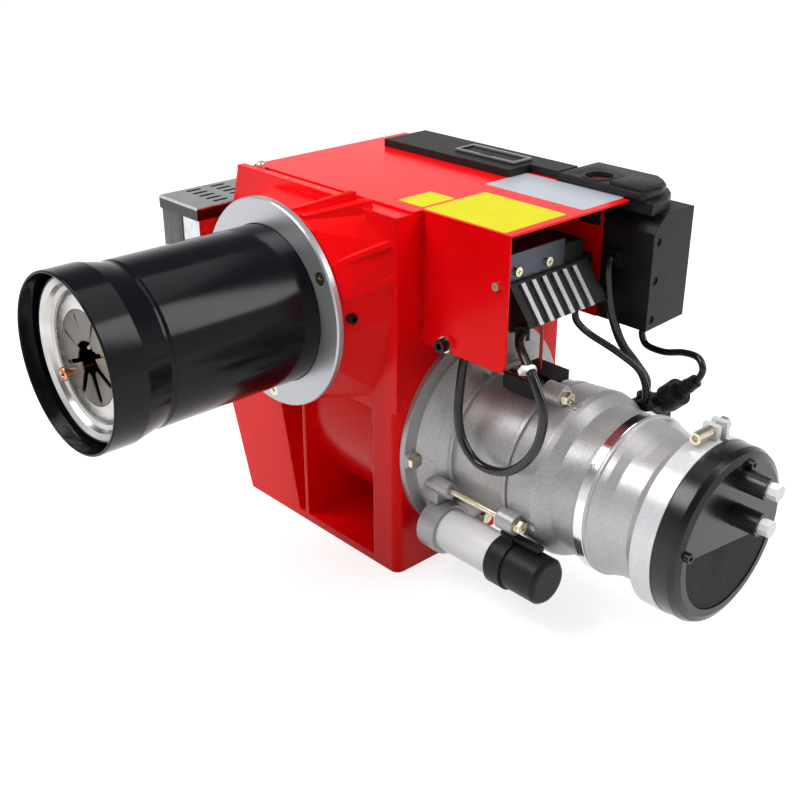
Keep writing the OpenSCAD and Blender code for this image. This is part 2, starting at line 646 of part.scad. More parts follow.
module rear_bell() color(cast) difference() {
    union() {
        on_shaft(0) turned([[shell_inner, rear_start], [motor_radius, rear_start], [motor_radius + 2,
            rear_start + 3], [motor_radius + 4, rear_start + 26], [motor_radius + 2.5, rear_start + 31],
            [motor_radius - 1, rear_start + 36], [motor_radius - 3, rear_start + 39], [motor_radius - 3,
                rear_end - 3], [motor_radius - 2, rear_end - 3], [motor_radius - 2, rear_end],
                [50, rear_end], [50, rear_start + 37],
            [10, rear_start + 37], [10, rear_start + 20 + bearing_width], [bearing_radius + fit,
                rear_start + 20 + bearing_width], [bearing_radius + fit, rear_start + 20],
            [25, rear_start + 20], [25, rear_start + 24], [50, rear_start + 22], [shell_inner,
                rear_start + 16]]);
        for (a = tie_angles) on_shaft(rear_start + 1.4) around(tie_circle, a)
            cylinder(r = tie_circle - motor_radius - 0.7, h = 15.6, $fn = 64);
    }
    for (a = tie_angles) on_shaft(rear_start + 17) around(tie_circle, a) cylinder(r = 6.3, h = 11,
        $fn = 48);
    for (a = tie_angles) on_shaft(rear_start - 1) around(tie_circle, a) cylinder(r = tie_radius + fit,
        h = 40, $fn = 48);
}
module tie_rods() color(zinc) for (a = tie_angles) {
    on_shaft(101.2) around(tie_circle, a) cylinder(r = 5, h = 4.7, $fn = 6);
    on_shaft(105) around(tie_circle, a) cylinder(r = tie_radius, h = rear_start + 21.4 - 105, $fn = 48);
}
module tie_nuts() color(zinc) for (a = tie_angles) on_shaft(rear_start + 17) around(tie_circle, a)
    difference() {
    union() {
        cylinder(r = 5.6, h = 1, $fn = 48);
        translate([0, 0, 1]) hex_head(4.9, 4);
    }
    translate([0, 0, -1]) cylinder(r = tie_radius + fit, h = 8, $fn = 48);
}
module bearing_ring(x, r0, r1) on_shaft(x) difference() {
    cylinder(r = r1, h = bearing_width);
    translate([0, 0, -1]) cylinder(r = r0, h = bearing_width + 2);
}
module bearing_outer() color(steel) {
    bearing_ring(106, bearing_radius - 4, bearing_radius);
    bearing_ring(rear_start + 20, bearing_radius - 4, bearing_radius);
}
module bearing_inner() color(grey) {
    bearing_ring(106, shaft_radius + fit, bearing_radius - 4.4);
    bearing_ring(rear_start + 20, shaft_radius + fit, bearing_radius - 4.4);
}

// Capacitor
module on_can(x) translate([x, can_y, can_z]) rotate([0, 90, 0]) children();
module can_clamp() color(cast) difference() {
    union() {
        on_can(can_x - 17) cylinder(r = can_radius + 3.4, h = 17);
        box(111, 123, 57, 80, can_z + 12, can_z + can_radius + 3.5);
    }
    on_can(can_x - 14) cylinder(r = can_radius + fit, h = 30);
    on_shaft(0) turned([[0, 100], [78, 100], [78, 109.3], [74.4, 112.3], [65.4, 120.3],
        [61, stator_start + 0.5], [0, stator_start + 0.5]]);
}
module capacitor_can() color(white) on_can(can_x - 14) turned([[0, 0], [can_radius - 1, 0],
    [can_radius, 1], [can_radius, can_length + 13], [can_radius - 1, can_length + 14],
    [0, can_length + 14]]);
module capacitor_cap() color(black) on_can(can_x + can_length - 16) difference() {
    turned([[0, 0], [cap_radius, 0], [cap_radius, 44], [cap_radius - 2, 46.5], [cap_radius - 4, 47],
        [0, 47]]);
    translate([0, 0, -1]) cylinder(r = can_radius + fit, h = 17.2);
}
module capacitor_clip() color(black) difference() {
    union() {
        on_can(can_x + can_length - 14) cylinder(r = cap_radius + 1.8, h = 14);
        box(can_x + can_length - 12, can_x + can_length - 2, 59, 67, can_z + cap_radius,
            can_z + cap_radius + 5);
        box(can_x + can_length - 14, can_x + can_length + 22, 60, 66, can_z + cap_radius + 3,
            can_z + cap_radius + 6.5);
    }
    on_can(can_x + can_length - 20) cylinder(r = cap_radius + fit, h = 40);
}

// Pump end
module locating_ring() color(steel) on_shaft(rear_end) difference() {
    turned([[53, 0], [locating_radius - 0.6, 0], [locating_radius, 0.6], [locating_radius,
        locating_width - 0.6], [locating_radius - 0.6, locating_width], [53, locating_width]]);
    translate([0, 0, -1]) cylinder(r = 53, h = 20);
}
module pump_sleeve() color(cast) difference() {
    on_shaft(0) turned([[48, rear_end], [53 - fit, rear_end], [53 - fit, ring_end], [locating_radius,
        ring_end], [locating_radius, ring_end + 2], [locating_radius - 1.4, ring_end + 2.8],
        [locating_radius - 2.4, ring_end + 8],
        [sleeve_waist + 0.6, ring_end + 15], [sleeve_waist, ring_end + 22], [sleeve_waist,
            clamp_start - 9], [clamp_radius - 3.2, clamp_start - 2], [clamp_radius - 3.2, sleeve_end],
        [48, sleeve_end], [48, pump_x], [27, pump_x], [27, pump_x - 6], [48, pump_x - 6]]);
    for (a = [30, 150, 270]) on_shaft(pump_x - 10) around(37, a) cylinder(r = 3 + fit, h = 20, $fn = 32);
}
module clamp_ring() color(grey) difference() {
    union() {
        on_shaft(clamp_start) cylinder(r = clamp_radius, h = clamp_width);
        box(clamp_start + 2, clamp_end - 2, shaft_back + 2, shaft_back + 6,
            -shaft_drop + clamp_radius - 4, -shaft_drop + clamp_radius + 10);
        box(clamp_start + 2, clamp_end - 2, shaft_back + 12, shaft_back + 16,
            -shaft_drop + clamp_radius - 5, -shaft_drop + clamp_radius + 10);
    }
    on_shaft(clamp_start - 1) cylinder(r = clamp_radius - 3.2 + fit, h = clamp_width + 2);
    box(clamp_start - 1, clamp_end + 1, shaft_back + 6, shaft_back + 12, -shaft_drop,
        -shaft_drop + clamp_radius + 20);
    translate([clamp_start + clamp_width / 2, shaft_back - 20, -shaft_drop + clamp_radius + 5.6])
        rotate([-90, 0, 0]) cylinder(r = 2.5 + fit, h = 60, $fn = 32);
}
module clamp_bolt() color(zinc) translate([clamp_start + clamp_width / 2, shaft_back,
    -shaft_drop + clamp_radius + 5.6]) rotate([-90, 0, 0]) {
    translate([0, 0, -15]) difference() {
        cylinder(r = 4.2, h = 17, $fn = 48);
        translate([0, 0, -1]) cylinder(r = 2.6, h = 4, $fn = 6);
    }
    translate([0, 0, 1]) cylinder(r = 2.5, h = 20, $fn = 32);
    translate([0, 0, 16]) hex_head(4.8, 4);
}
module coupling() color(black) on_shaft(rear_end + 1) difference() {
    union() {
        cylinder(r = 15, h = pump_x - rear_end - 12, $fn = 64);
        for (a = [0 : 60 : 300]) rotate(a) translate([13, -2.5, 0]) cube([5, 5, pump_x - rear_end - 12]);
    }
    translate([0, 0, -1]) cylinder(r = 6 + fit, h = 14, $fn = 64);
    translate([0, 0, 15]) cylinder(r = 5 + fit, h = 60, $fn = 64);
}
module pump_body() color(cast) on_shaft(0) difference() {
    union() {
        translate([0, 0, pump_x]) cylinder(r = 44, h = rotor_width + 10 + 0.2);
        translate([0, 0, pump_x - 9]) cylinder(r = 16, h = 10, $fn = 64);
    }
    translate([0, 0, pump_x - 10]) cylinder(r = 5 + fit, h = 60, $fn = 64);
    translate([0, -rotor_offset, rotor_x]) cylinder(r = lobe_circle + 5 + fit, h = 40, $fn = 96);
    for (a = [30, 150, 270]) translate([0, 0, pump_x - 1]) around(37, a) cylinder(r = 3 + fit, h = 9,
        $fn = 32);
}
module pump_bolts() color(zinc) for (a = [30, 150, 270]) on_shaft(pump_x - 6) around(37, a)
    rotate([180, 0, 0]) {
    hex_head(5, 4);
    translate([0, 0, -13]) cylinder(r = 3, h = 13.1, $fn = 32);
}
module pump_shaft() color(steel) {
    on_shaft(pump_x - 24) cylinder(r = 5, h = 34 + rotor_width - 0.5, $fn = 64);
}
// trochoid of the inner rotor: one lobe fewer than the outer rotor
n_out = 7;
function psi(p) = atan2(sin((1 - n_out) * p), lobe_circle / (rotor_offset * n_out) - cos((1 - n_out) * p));
function inner_point(p, r) = [lobe_circle * cos(p) - r * cos(p + psi(p)) - rotor_offset * cos(n_out * p),
    -lobe_circle * sin(p) + r * sin(p + psi(p)) + rotor_offset * sin(n_out * p)];
module inner_rotor() color(steel) on_shaft(rotor_x + 0.1) linear_extrude(rotor_width - 0.2) rotate(90)
    difference() {
    polygon([for (i = [0 : 143]) inner_point(-i * 2.5, lobe_radius + 0.12)]);
    circle(5 + fit, $fn = 64);
}
module outer_rotor() color(grey) on_shaft(rotor_x + 0.1) translate([0, -rotor_offset, 0])
    linear_extrude(rotor_width - 0.2) rotate(90) difference() {
    circle(lobe_circle + 5);
    difference() {
        circle(lobe_circle + 1.6);
        for (i = [0 : n_out - 1]) rotate(i * 360 / n_out) translate([lobe_circle, 0]) circle(lobe_radius,
            $fn = 48);
    }
}
module pump_plate() color(cast) on_shaft(pump_x + rotor_width + 10.2) difference() {
    cylinder(r = 44, h = 7);
    for (p = [[-42, 7], [-17, 3]]) translate([p[0], p[1], -1]) cylinder(r = 4 + fit, h = 20, $fn = 48);
}
module pump_cover() color(black) difference() {
    on_shaft(clamp_start + 8) turned([[0, clamp_width + cover_depth - 12],
        [0, clamp_width + cover_depth - 8], [cover_radius - 6.5, clamp_width + cover_depth - 8],
        [cover_radius - 2, clamp_width + cover_depth - 10], [cover_radius, clamp_width + cover_depth - 14],
        [cover_radius, clamp_width - 8], [clamp_radius - 3.2, clamp_width - 8], [clamp_radius - 3.2, 0],
            [clamp_radius - 6, 0], [clamp_radius - 6, clamp_width + cover_depth - 12]]);
    // raised lid plate outline and felt recess
    on_shaft(cover_face - 2) intersection() {
        cylinder(r = felt_radius, h = 10);
        rotate(-8) translate([2.7, -60, 0]) cube([60, 120, 10]);
    }
    for (p = [[-42, 7], [-17, 3]]) on_shaft(cover_face - 10) translate([p[0], p[1], 0])
        cylinder(r = port_radius + fit, h = 30, $fn = 64);
    for (a = [80, 170]) on_shaft(cover_face - 10) around(cover_screw_circle, a) cylinder(r = 2 + fit,
        h = 30, $fn = 32);
}
module cover_posts() color(cast) difference() {
    for (a = [80, 170]) on_shaft(pump_x + rotor_width + 14.2) around(cover_screw_circle, a) difference() {
        union() {
            cylinder(r = 3.2, h = cover_face - 4.02 - pump_x - rotor_width - 14.2, $fn = 48);
            rotate(a) translate([-3, -16, 0]) cube([6, 16, 3]);
        }
        translate([0, 0, -1]) cylinder(r = 2 + fit, h = 40, $fn = 32);
    }
    for (p = [[-42, 7], [-17, 3]]) on_shaft(pump_x) translate([p[0], p[1], 0]) cylinder(r = 4 + fit,
        h = 40, $fn = 48);
}
module felt_pad() color(black) on_shaft(cover_face - 2) intersection() {
    cylinder(r = felt_radius - 0.4, h = 1);
    rotate(-8) translate([3.1, -60, 0]) cube([60, 120, 1]);
}
module cover_screws() color(black) for (a = [80, 170]) on_shaft(cover_face) around(cover_screw_circle, a)
    socket_screw(2, 10, 3.4, 4);
module port_fittings() color(black) for (p = [[-42, 7], [-17, 3]]) on_shaft(cover_face + port_length)
    translate([p[0], p[1], 0]) difference() {
    union() {
        translate([0, 0, -port_length - 4 - (cover_face - 4 - pump_x - rotor_width - 17.26)])
            cylinder(r = port_radius, h = port_length + 4 + (cover_face - 4 - pump_x - rotor_width - 17.26), $fn = 64);
        translate([0, 0, -port_length - 4 - (cover_face - 4 - pump_x - rotor_width - 10.3)])
            cylinder(r = 4, h = 8, $fn = 48);
    }
    translate([0, 0, -8]) cylinder(r = 4, h = 10, $fn = 48);
}
module port_plugs() color(white) for (p = [[-42, 7], [-17, 3]]) on_shaft(cover_face + port_length)
    translate([p[0], p[1], 0]) {
    translate([0, 0, -6]) cylinder(r = 4 - fit, h = 6.1, $fn = 48);
    cylinder(r = 5.8, h = 7.5, $fn = 8);
}

// Air intake
module air_box() color(steel) difference() {
    union() {
        difference() {
            box(air_box_left, air_box_right, air_box_front, air_box_front + air_box_length,
                air_box_top - air_box_height, air_box_top);
            box(air_box_left + air_box_sheet, air_box_right - air_box_sheet,
                air_box_front + air_box_sheet, air_box_front + air_box_length - air_box_sheet,
                air_box_top - air_box_height + air_box_sheet, air_box_top + 1);
        }
        // partition with the damper opening
        box(damper_x - 0.6, damper_x + 0.6, air_box_front + 0.5, air_box_front + air_box_length - 0.5,
            air_box_top - air_box_height + 0.5, air_box_top - 0.5);
    }
    box(damper_x - 5, damper_x + 5, damper_y - damper_size / 2 - 0.8, damper_y + damper_size / 2 + 0.8,
        damper_z - damper_size / 2 - 0.8, damper_z + damper_size / 2 + 0.8);
    box(air_box_right - 2, air_box_right + 1, damper_y - 34, damper_y + 34, damper_z - 34, damper_z + 34);
    translate([damper_x, 0, damper_z]) rotate([-90, 0, 0]) cylinder(r = damper_shaft_radius + fit,
        h = 200, $fn = 48);
    for (y = [-37, 37], z = [-37, 37]) translate([air_box_right - 5, damper_y + y, damper_z + z])
        rotate([0, 90, 0]) cylinder(r = 2 + fit, h = 10, $fn = 32);
}
module air_box_screws() color(zinc) for (y = [-37, 37], z = [-37, 37])
    translate([air_box_right - air_box_sheet, damper_y + y, damper_z + z]) rotate([0, -90, 0])
    cross_screw(2, 8, 3.8, 2.6);
module air_box_lid() color(steel) difference() {
    union() {
        slab_y(air_box_front - 2, air_box_length + 4) polygon([[air_box_left - 2, air_box_top - 6],
            [air_box_left - 2, air_box_top + 3.5], [air_box_left - 0.5, air_box_top + 5],
            [air_box_right + 0.3, air_box_top + 5], [air_box_right + 1.4, air_box_top + 3.9],
            [air_box_right + 1.4, air_box_top - 6]]);
    }
    box(air_box_left - 0.05, air_box_right + 0.05, air_box_front - 0.05,
        air_box_front + air_box_length + 0.05, air_box_top - 10, air_box_top);
    box(air_box_left + 1, air_box_right - 1, air_box_front + 1, air_box_front + air_box_length - 1,
        air_box_top - 1, air_box_top + 3.8);
    for (i = [0 : 4], j = [0, 1]) translate([air_box_left + 5 + i * 9.6, air_box_front + 19 + j * 23.5,
        air_box_top]) linear_extrude(10) soft_square(4, 14.5, 1.9);
}
module damper_shaft() color(steel) difference() {
    translate([damper_x, air_box_front - 3, damper_z]) rotate([-90, 0, 0])
        cylinder(r = damper_shaft_radius, h = air_box_length + 18, $fn = 48);
    box(damper_x - damper_thickness / 2, damper_x + damper_thickness / 2, damper_y - damper_size / 2,
        damper_y + damper_size / 2, damper_z - 10, damper_z + 10);
    for (s = [-20, 20]) translate([damper_x - 10, damper_y + s, damper_z]) rotate([0, 90, 0])
        cylinder(r = 1.25 + fit, h = 20, $fn = 24);
}
module damper_flap() color(steel) difference() {
    box(damper_x - damper_thickness / 2, damper_x + damper_thickness / 2, damper_y - damper_size / 2,
        damper_y + damper_size / 2, damper_z - damper_size / 2, damper_z + damper_size / 2);
    for (s = [-20, 20]) translate([damper_x - 10, damper_y + s, damper_z]) rotate([0, 90, 0])
        cylinder(r = 1.25 + fit, h = 20, $fn = 24);
}
module damper_screws() color(zinc) for (s = [-20, 20]) translate([damper_x + damper_shaft_radius,
    damper_y + s, damper_z]) rotate([0, 90, 0]) cross_screw(1.25, 5.6, 2.2, 1.6);
module damper_lever() color(black) {
    y = air_box_front + air_box_length + 2;
    slab_y(y, 8) difference() {
        union() {
            translate([damper_x, damper_z]) circle(8, $fn = 64);
            translate([damper_x, damper_z]) rotate(76) translate([-3, 0]) square([6, 26]);
            translate([damper_x, damper_z]) rotate(76) translate([0, 26]) circle(3, $fn = 32);
        }
        translate([damper_x, damper_z]) circle(damper_shaft_radius + fit, $fn = 48);
    }
}

// Folded cover and bracket
module folded_cover() color(red) difference() {
    union() {
        box(-80, flank_x + 0.3, 51, 184, housing_top, housing_top + cover_sheet);
        box(-80, 112, 183, 213, housing_top, housing_top + cover_sheet);
        box(flank_x, cover_end, cover_front, 184, housing_top, housing_top + cover_sheet);
        slab_y(cover_front, cover_sheet)
            translate([flank_x + 3.3, housing_top + cover_sheet - cover_drop]) difference() {
            square([cover_end - flank_x - 3.3, cover_drop]);
            translate([cover_end - flank_x - 11.3, 0]) difference() {
                translate([0, -1]) square([9, 9]);
                translate([0, 8]) circle(8, $fn = 64);
            }
        }
    }
    translate([173, cover_front - 1, 45]) rotate([-90, 0, 0]) cylinder(r = 2 + fit, h = 5, $fn = 32);
    translate([126, cover_front - 1, -11]) rotate([-90, 0, 0]) cylinder(r = 2.5 + fit, h = 5, $fn = 32);
}
module control_bracket() color(red) difference() {
    union() {
        box(flank_x, flank_x + 1.5, cover_front + cover_sheet, box_y, 0, 78);
        box(flank_x, box_x, box_y - 1.5, box_y, -14, 78);
        box(box_x - 1.5, box_x, box_y - 1.5, box_y + 38, -10, 54);
        box(flank_x, 180, cover_front + cover_sheet, cover_front + 2 * cover_sheet, 37, 53);
    }
    translate([173, cover_front - 1, 45]) rotate([-90, 0, 0]) cylinder(r = 2 + fit, h = 8, $fn = 32);
    for (y = [90, 170]) translate([flank_x - 1, y, 65]) rotate([0, 90, 0]) cylinder(r = 2.5 + fit, h = 5,
        $fn = 32);
    for (z = [10, 40]) translate([box_x - 3, box_y + 30, z]) rotate([0, 90, 0]) cylinder(r = 1.5 + fit,
        h = 5, $fn = 32);
    for (x = [112, 148]) translate([x, box_y - 3, 10]) rotate([-90, 0, 0]) cylinder(r = 2 + fit, h = 5,
        $fn = 32);
}
module bracket_screws() color(zinc) for (y = [90, 170]) translate([flank_x + 1.5, y, 65])
    rotate([0, 90, 0]) cross_screw(2.5, 6, 4.5, 3);
module cover_screw() color(zinc) translate([173, cover_front, 45]) rotate([90, 0, 0]) cross_screw(2, 6,
    2.9, 2);
module cover_bolt() color(black) translate([126, cover_front - 1.2, -11]) rotate([90, 0, 0])
    socket_screw(2.5, 12, 5, 5.5);
module cover_washer() color(steel) translate([126, cover_front - 1.2, -11]) rotate([-90, 0, 0])
    difference() {
    cylinder(r = 6.2, h = 1.2, $fn = 64);
    translate([0, 0, -1]) cylinder(r = 2.5 + fit, h = 4, $fn = 32);
}
module cover_stud() color(zinc) translate([-66, 47, housing_top]) difference() {
    union() {
        cylinder(r = 3.8, h = 5, $fn = 48);
        translate([0, 0, 5]) cylinder(r1 = 3.8, r2 = 2.5, h = 1.6, $fn = 48);
    }
    translate([-0.5, -6, 5.6]) cube([1, 12, 3]);
}
module neck_screw() color(black) translate([79.5, 11.6, 8]) rotate([0, 90, 0]) socket_screw(2.5, 12, 3.5,
    4);

// Ignition unit
module ignition_unit() color(black) difference() {
    union() {
        slab_y(86, 84) polygon([[122, 2], [164, 2], [180, 9], [178, 14], [160, 36], [156, 36], [156, 50],
            [122, 50]]);
        box(110, 152, 168, box_y - 1.5, 2, 34);
    }
    // slots between the fins
    for (i = [0 : fin_count - 1]) translate([0, 94 + i * 11, 0]) slab_y(0, 5.2)
        polygon([[162.5, 37], [190, 37], [190, 5], [178, 5], [165, 12.5]]);
    for (x = [112, 148]) translate([x, box_y - 12, 10]) rotate([-90, 0, 0]) cylinder(r = 2 + fit, h = 20,
        $fn = 32);
    translate([140, 128, 43]) rotate([0, 90, 0]) cylinder(r = 1.5 + fit, h = 20, $fn = 32);
    translate([140, 96, 43]) rotate([0, 90, 0]) cylinder(r = 1.5 + fit, h = 20, $fn = 32);
    for (y = [104, 124]) translate([158, y, 1]) cylinder(r = 1.5, h = 4, $fn = 24);
}
module ignition_fins() color(steel) for (i = [0 : fin_count - 1]) translate([0, 94.6 + i * 11, 0])
    slab_y(0, 4)
    polygon([[165.2, 13.4], [176.6, 6.9], [182.8, 10.6], [163.4, 35.6], [163, 34]]);
module ignition_plate() color(grey) difference() {
    box(156, 158, 88, 146, 36.2, 56);
    for (y = [96, 128]) translate([150, y, 43]) rotate([0, 90, 0]) cylinder(r = 1.5 + fit, h = 20,
        $fn = 32);
}
module ignition_screws() color(zinc) for (y = [96, 128]) translate([158, y, 43]) rotate([0, 90, 0])
    cross_screw(1.5, 10, 3.4, 2.2);
module unit_screws() color(zinc) for (x = [112, 148]) translate([x, box_y, 10]) rotate([-90, 0, 0])
    cross_screw(2, 12, 4, 2.6);

// Black strip, window flap, control unit
module control_strip() color(black) difference() {
    union() {
        box(-55, 84, 166, 213, strip_z, strip_z + strip_height);
        box(83, 112, 190, 213, strip_z, strip_z + strip_height);
        box(14, 76, 180, 201, strip_z + strip_height - 0.5, strip_z + strip_height + 1.6);
    }
    box(16.5, 73.5, 182.5, 198.5, strip_z + 2, strip_z + 20);
    // hinge pockets
    translate([13.9, 197, strip_z + strip_height]) rotate([0, 90, 0]) cylinder(r = 1 + fit, h = 62.2,
        $fn = 32);
    box(16.5, 73.5, 195, 200.2, strip_z + 2, strip_z + 20);
}
module window_flap() color(black) {
    box(17, 73, 183, 197, strip_z + strip_height - 0.6, strip_z + strip_height + 0.6);
    translate([14.4, 197, strip_z + strip_height]) rotate([0, 90, 0]) cylinder(r = 1, h = 61.2, $fn = 32);
    box(40, 50, 181.6, 183.5, strip_z + strip_height + 1.7, strip_z + strip_height + 2.6);
    box(40, 50, 183, 184.5, strip_z + strip_height - 0.2, strip_z + strip_height + 2.6);
}
module control_unit() color(black) difference() {
    union() {
        translate([0, 0, strip_z]) linear_extrude(7) polygon([[114, 173], [200, 173], [202, 176],
            [201, 206], [194, 223], [184, 232], [170, 236], [114, 236]]);
        translate([0, 0, strip_z + 6]) linear_extrude(3) polygon([[116, 175], [198, 175], [199.6, 177],
            [198.6, 205], [192, 221], [183, 229.6], [169.6, 233.6], [116, 233.6]]);
        box(166, 194, 181, 210, strip_z + 8, strip_z + 10.6);
        box(114, 157.4, 186, 234, 56, strip_z + 1);
        translate([0, 0, 72]) linear_extrude(strip_z - 71) polygon([[114, 188.2], [200, 188.2],
            [199, 206], [192, 221], [183, 230], [170, 234], [114, 234]]);
    }
    translate([142, 201, strip_z - 18]) cylinder(r = 10.5, h = 40, $fn = 64);
    box(100, 114.5, 170, 184.4, 60, strip_z);
    box(100, 157.6, box_y - 8, box_y + 0, 50, strip_z - 0.0);
    for (p = [[121, 180], [176, 226]]) translate([p[0], p[1], strip_z + 7]) cylinder(r = 1.6, h = 5,
        $fn = 24);
}
module reset_button() color(red) translate([142, 201, 0]) {
    translate([0, 0, strip_z - 9]) cylinder(r = reset_radius, h = 13, $fn = 64);
    translate([0, 0, strip_z - 14.8]) cylinder(r = 3, h = 6, $fn = 32);
}
module reset_guide() color(black) translate([142, 201, 0]) difference() {
    translate([0, 0, strip_z - 18]) cylinder(r = 10.5, h = 11.5, $fn = 64);
    translate([0, 0, strip_z - 12.4]) cylinder(r = reset_radius + 0.1, h = 20, $fn = 64);
    translate([0, 0, strip_z - 20]) cylinder(r = 3 + fit, h = 20, $fn = 32);
}

// Connector box
module connector_box() color(black) difference() {
    slab_x(box_x, box_width) polygon([[box_y, box_top - box_height], [box_y + box_depth,
        box_top - box_height + 2], [box_y + box_depth, box_top], [box_y + box_chamfer, box_top],
        [box_y, box_top - box_chamfer]]);
    // hollow with a lid side towards +X
    slab_x(box_x + 3, box_width - 6) polygon([[box_y + 3, box_top - box_height + 3],
        [box_y + box_depth - 3, box_top - box_height + 5], [box_y + box_depth - 3, box_top - 3],
        [box_y + box_chamfer + 1, box_top - 3], [box_y + 3, box_top - box_chamfer - 1]]);
    translate([box_x + 15, box_y - 1, 36]) rotate([-90, 0, 0]) cylinder(r = 6 + fit, h = 6, $fn = 64);
    translate([box_x + 33, box_y + 14, box_top - box_height - 2]) cylinder(r = 5 + fit, h = 8, $fn = 64);
    for (z = [-6, 24, 53]) translate([box_x + box_width - 2.6, box_y + 6, z]) rotate([0, 90, 0])
        cylinder(r = 3, h = 5, $fn = 32);
    for (z = [10, 40]) translate([box_x - 1, box_y + 30, z]) rotate([0, 90, 0]) cylinder(r = 1.5 + fit,
        h = 6, $fn = 32);
}
module box_screws() color(black) for (z = [-6, 24, 53]) translate([box_x + box_width - 2.58, box_y + 6,
    z]) rotate([0, 90, 0]) difference() {
    cylinder(r = 2.6, h = 1.6, $fn = 32);
    translate([-2, -0.4, 0.8]) cube([4, 0.8, 2]);
}
module side_screws() color(zinc) for (z = [10, 40]) translate([box_x - 1.5, box_y + 30, z])
    rotate([0, -90, 0]) cross_screw(1.5, 4.4, 3, 2);
module box_glands() color(black) {
    translate([box_x + 15, box_y - 5, 36]) rotate([-90, 0, 0]) { cylinder(r = 6, h = 9,
        $fn = 64); cylinder(r = 7.4, h = 4.98, $fn = 6); }
    translate([box_x + 33, box_y + 14, box_top - box_height - 4]) { cylinder(r = 5, h = 8,
        $fn = 64); cylinder(r = 6.4, h = 3.98, $fn = 6); }
}

// Motor terminals, plug and socket
module terminal_block() color(black) difference() {
    box(146, 176, 100, 138, -56, -38);
    on_shaft(stator_start) cylinder(r = motor_radius + 1.3, h = 60);
    on_shaft(stator_start) around(tie_circle, tie_angles[1]) cylinder(r = tie_radius + 0.5, h = 70,
        $fn = 48);
    box(145, 177, 110, 116, -42, -37);
}
module terminal_feet() color(cast) for (x = [149, 167]) difference() {
    box(x, x + 6, 112, 134, -52, -44);
    on_shaft(stator_start) cylinder(r = motor_radius - 1 + fit, h = 60);
}
module socket() color(black) difference() {
    union() {
        box(212, 228, 168, 196, -82, -62);
        translate([222, 190, -66]) rotate([0, 45, 0]) cylinder(r = 8.5, h = 8, $fn = 64);
    }
    on_shaft(200) cylinder(r = motor_radius + 4.3, h = 40);
    translate([222, 190, -66]) rotate([0, 45, 0]) translate([0, 0, 2]) cylinder(r = 6 + fit, h = 20,
        $fn = 64);
}
module plug() color(black) translate([222, 190, -66]) rotate([0, 45, 0]) {
    translate([0, 0, 2]) cylinder(r = 6, h = 8, $fn = 64);
    translate([0, 0, 8]) cylinder(r = 10.4, h = 13, $fn = 64);
    for (i = [0 : 3]) translate([0, 0, 21 + i * 4]) cylinder(r = 6.4 - i * 0.4, h = 2.6, $fn = 48);
    translate([0, 0, 20]) cylinder(r = 5, h = 19, $fn = 48);
}
module motor_gland() color(black) difference() {
    union() {
        translate([204, 196, -80]) cylinder(r = 6.5, h = 14, $fn = 64);
        box(198, 211.7, 166, 198, -82, -70);
    }
    on_shaft(190) cylinder(r = motor_radius + 4.3, h = 40);
    on_shaft(190) around(tie_circle, tie_angles[0]) cylinder(r = tie_circle - motor_radius - 0.4, h = 40,
        $fn = 64);
}

// Cables
function cr(a, b, c, d, t) = 0.5 * ((2 * b) + (c - a) * t + (2 * a - 5 * b + 4 * c - d)
    * t * t + (3 * b - a - 3 * c + d) * t * t * t);
function smooth(p, n) = let (m = len(p) - 1) [for (i = [0 : m - 1], k = [0 : n - 1]) cr(p[max(i - 1, 0)],
    p[i], p[i + 1], p[min(i + 2, m)], k / n), p[m]];
function unit(v) = v / norm(v);
function tangent(p, i) = unit(p[min(i + 1, len(p) - 1)] - p[max(i - 1, 0)]);
module tube(p, r, ref, sides, t0, t1) {
    m = len(p) - 1;
    pts = [for (i = [0 : m], k = [0 : sides - 1])
        let (t = i == 0 ? t0 : i == m ? t1 : tangent(p, i), n = unit(cross(t, ref)), b = cross(t, n))
        p[i] + r * (cos(k * 360 / sides) * n + sin(k * 360 / sides) * b)];
    faces = concat([[for (k = [0 : sides - 1]) k]], [[for (k = [sides - 1 : -1 : 0]) m * sides + k]],
        [for (i = [0 : m - 1], k = [0 : sides - 1]) [i * sides + k, (i + 1) * sides + k, (i + 1)
            * sides + (k + 1) % sides, i * sides + (k + 1) % sides]]);
    polyhedron(pts, faces, 4);
}
loop_route = [[176, 84, 5], [184, 72, 4], [198, 62, 0], [213, 56, -11], [223, 54, -29], [220, 54, -52],
    [208, 55, -72], [189, 56, -87], [165, 57, -91], [149, 57, -80], [142, 58, -62], [139, 62, -42],
    [137, 67, -24], [136, 74, -10], [136, 80, 2]];
box_route = [[174, 183, 36], [174, 178, 35], [176, 175, 27], [179, 175, 10], [184, 176, -8],
    [191, 180, -26], [199, 189, -42], [204, 195.6, -55], [204, 196, -66]];
plug_route = [[192, 202, -18], [192, 202, -24], [198, 201, -30], [214, 200, -30], [232, 197, -24],
    [247, 193, -22], [254, 190, -28], [251, 190, -37], [249.6, 190, -38.4]];
lead_route = [[168, 150, 2], [169, 152, -6], [176, 158, -15], [196, 164, -24], [212, 172, -36],
    [218, 175, -50], [218, 176, -62]];
module loop_cable() color(black) tube(smooth(loop_route, 2), 3.3, [0, 1, 0], 10, unit([1, -1, 0]),
    [0, 0, 1]);
module box_cable() color(black) tube(smooth(box_route, 2), 3.4, [1, 0, 0], 10, [0, -1, 0], [0, 0, -1]);
module plug_cable() color(black) tube(smooth(plug_route, 2), 2.6, [0, 1, 0], 10, [0, 0, -1],
    unit([-1, 0, -1]));
module lead_cable() color(black) tube(smooth(lead_route, 2), 2.6, [0, 1, 0], 10, [0, 0, -1], [0, 0, -1]);
module red_wires() color(red) for (y = [104, 124]) tube([[158, y, 5], [158, y, 0], [159, y + 1, -12],
    [160, y, -30], [160, y, -38]], 1.3, [0, 1, 0], 8, [0, 0, -1], [0, 0, -1]);
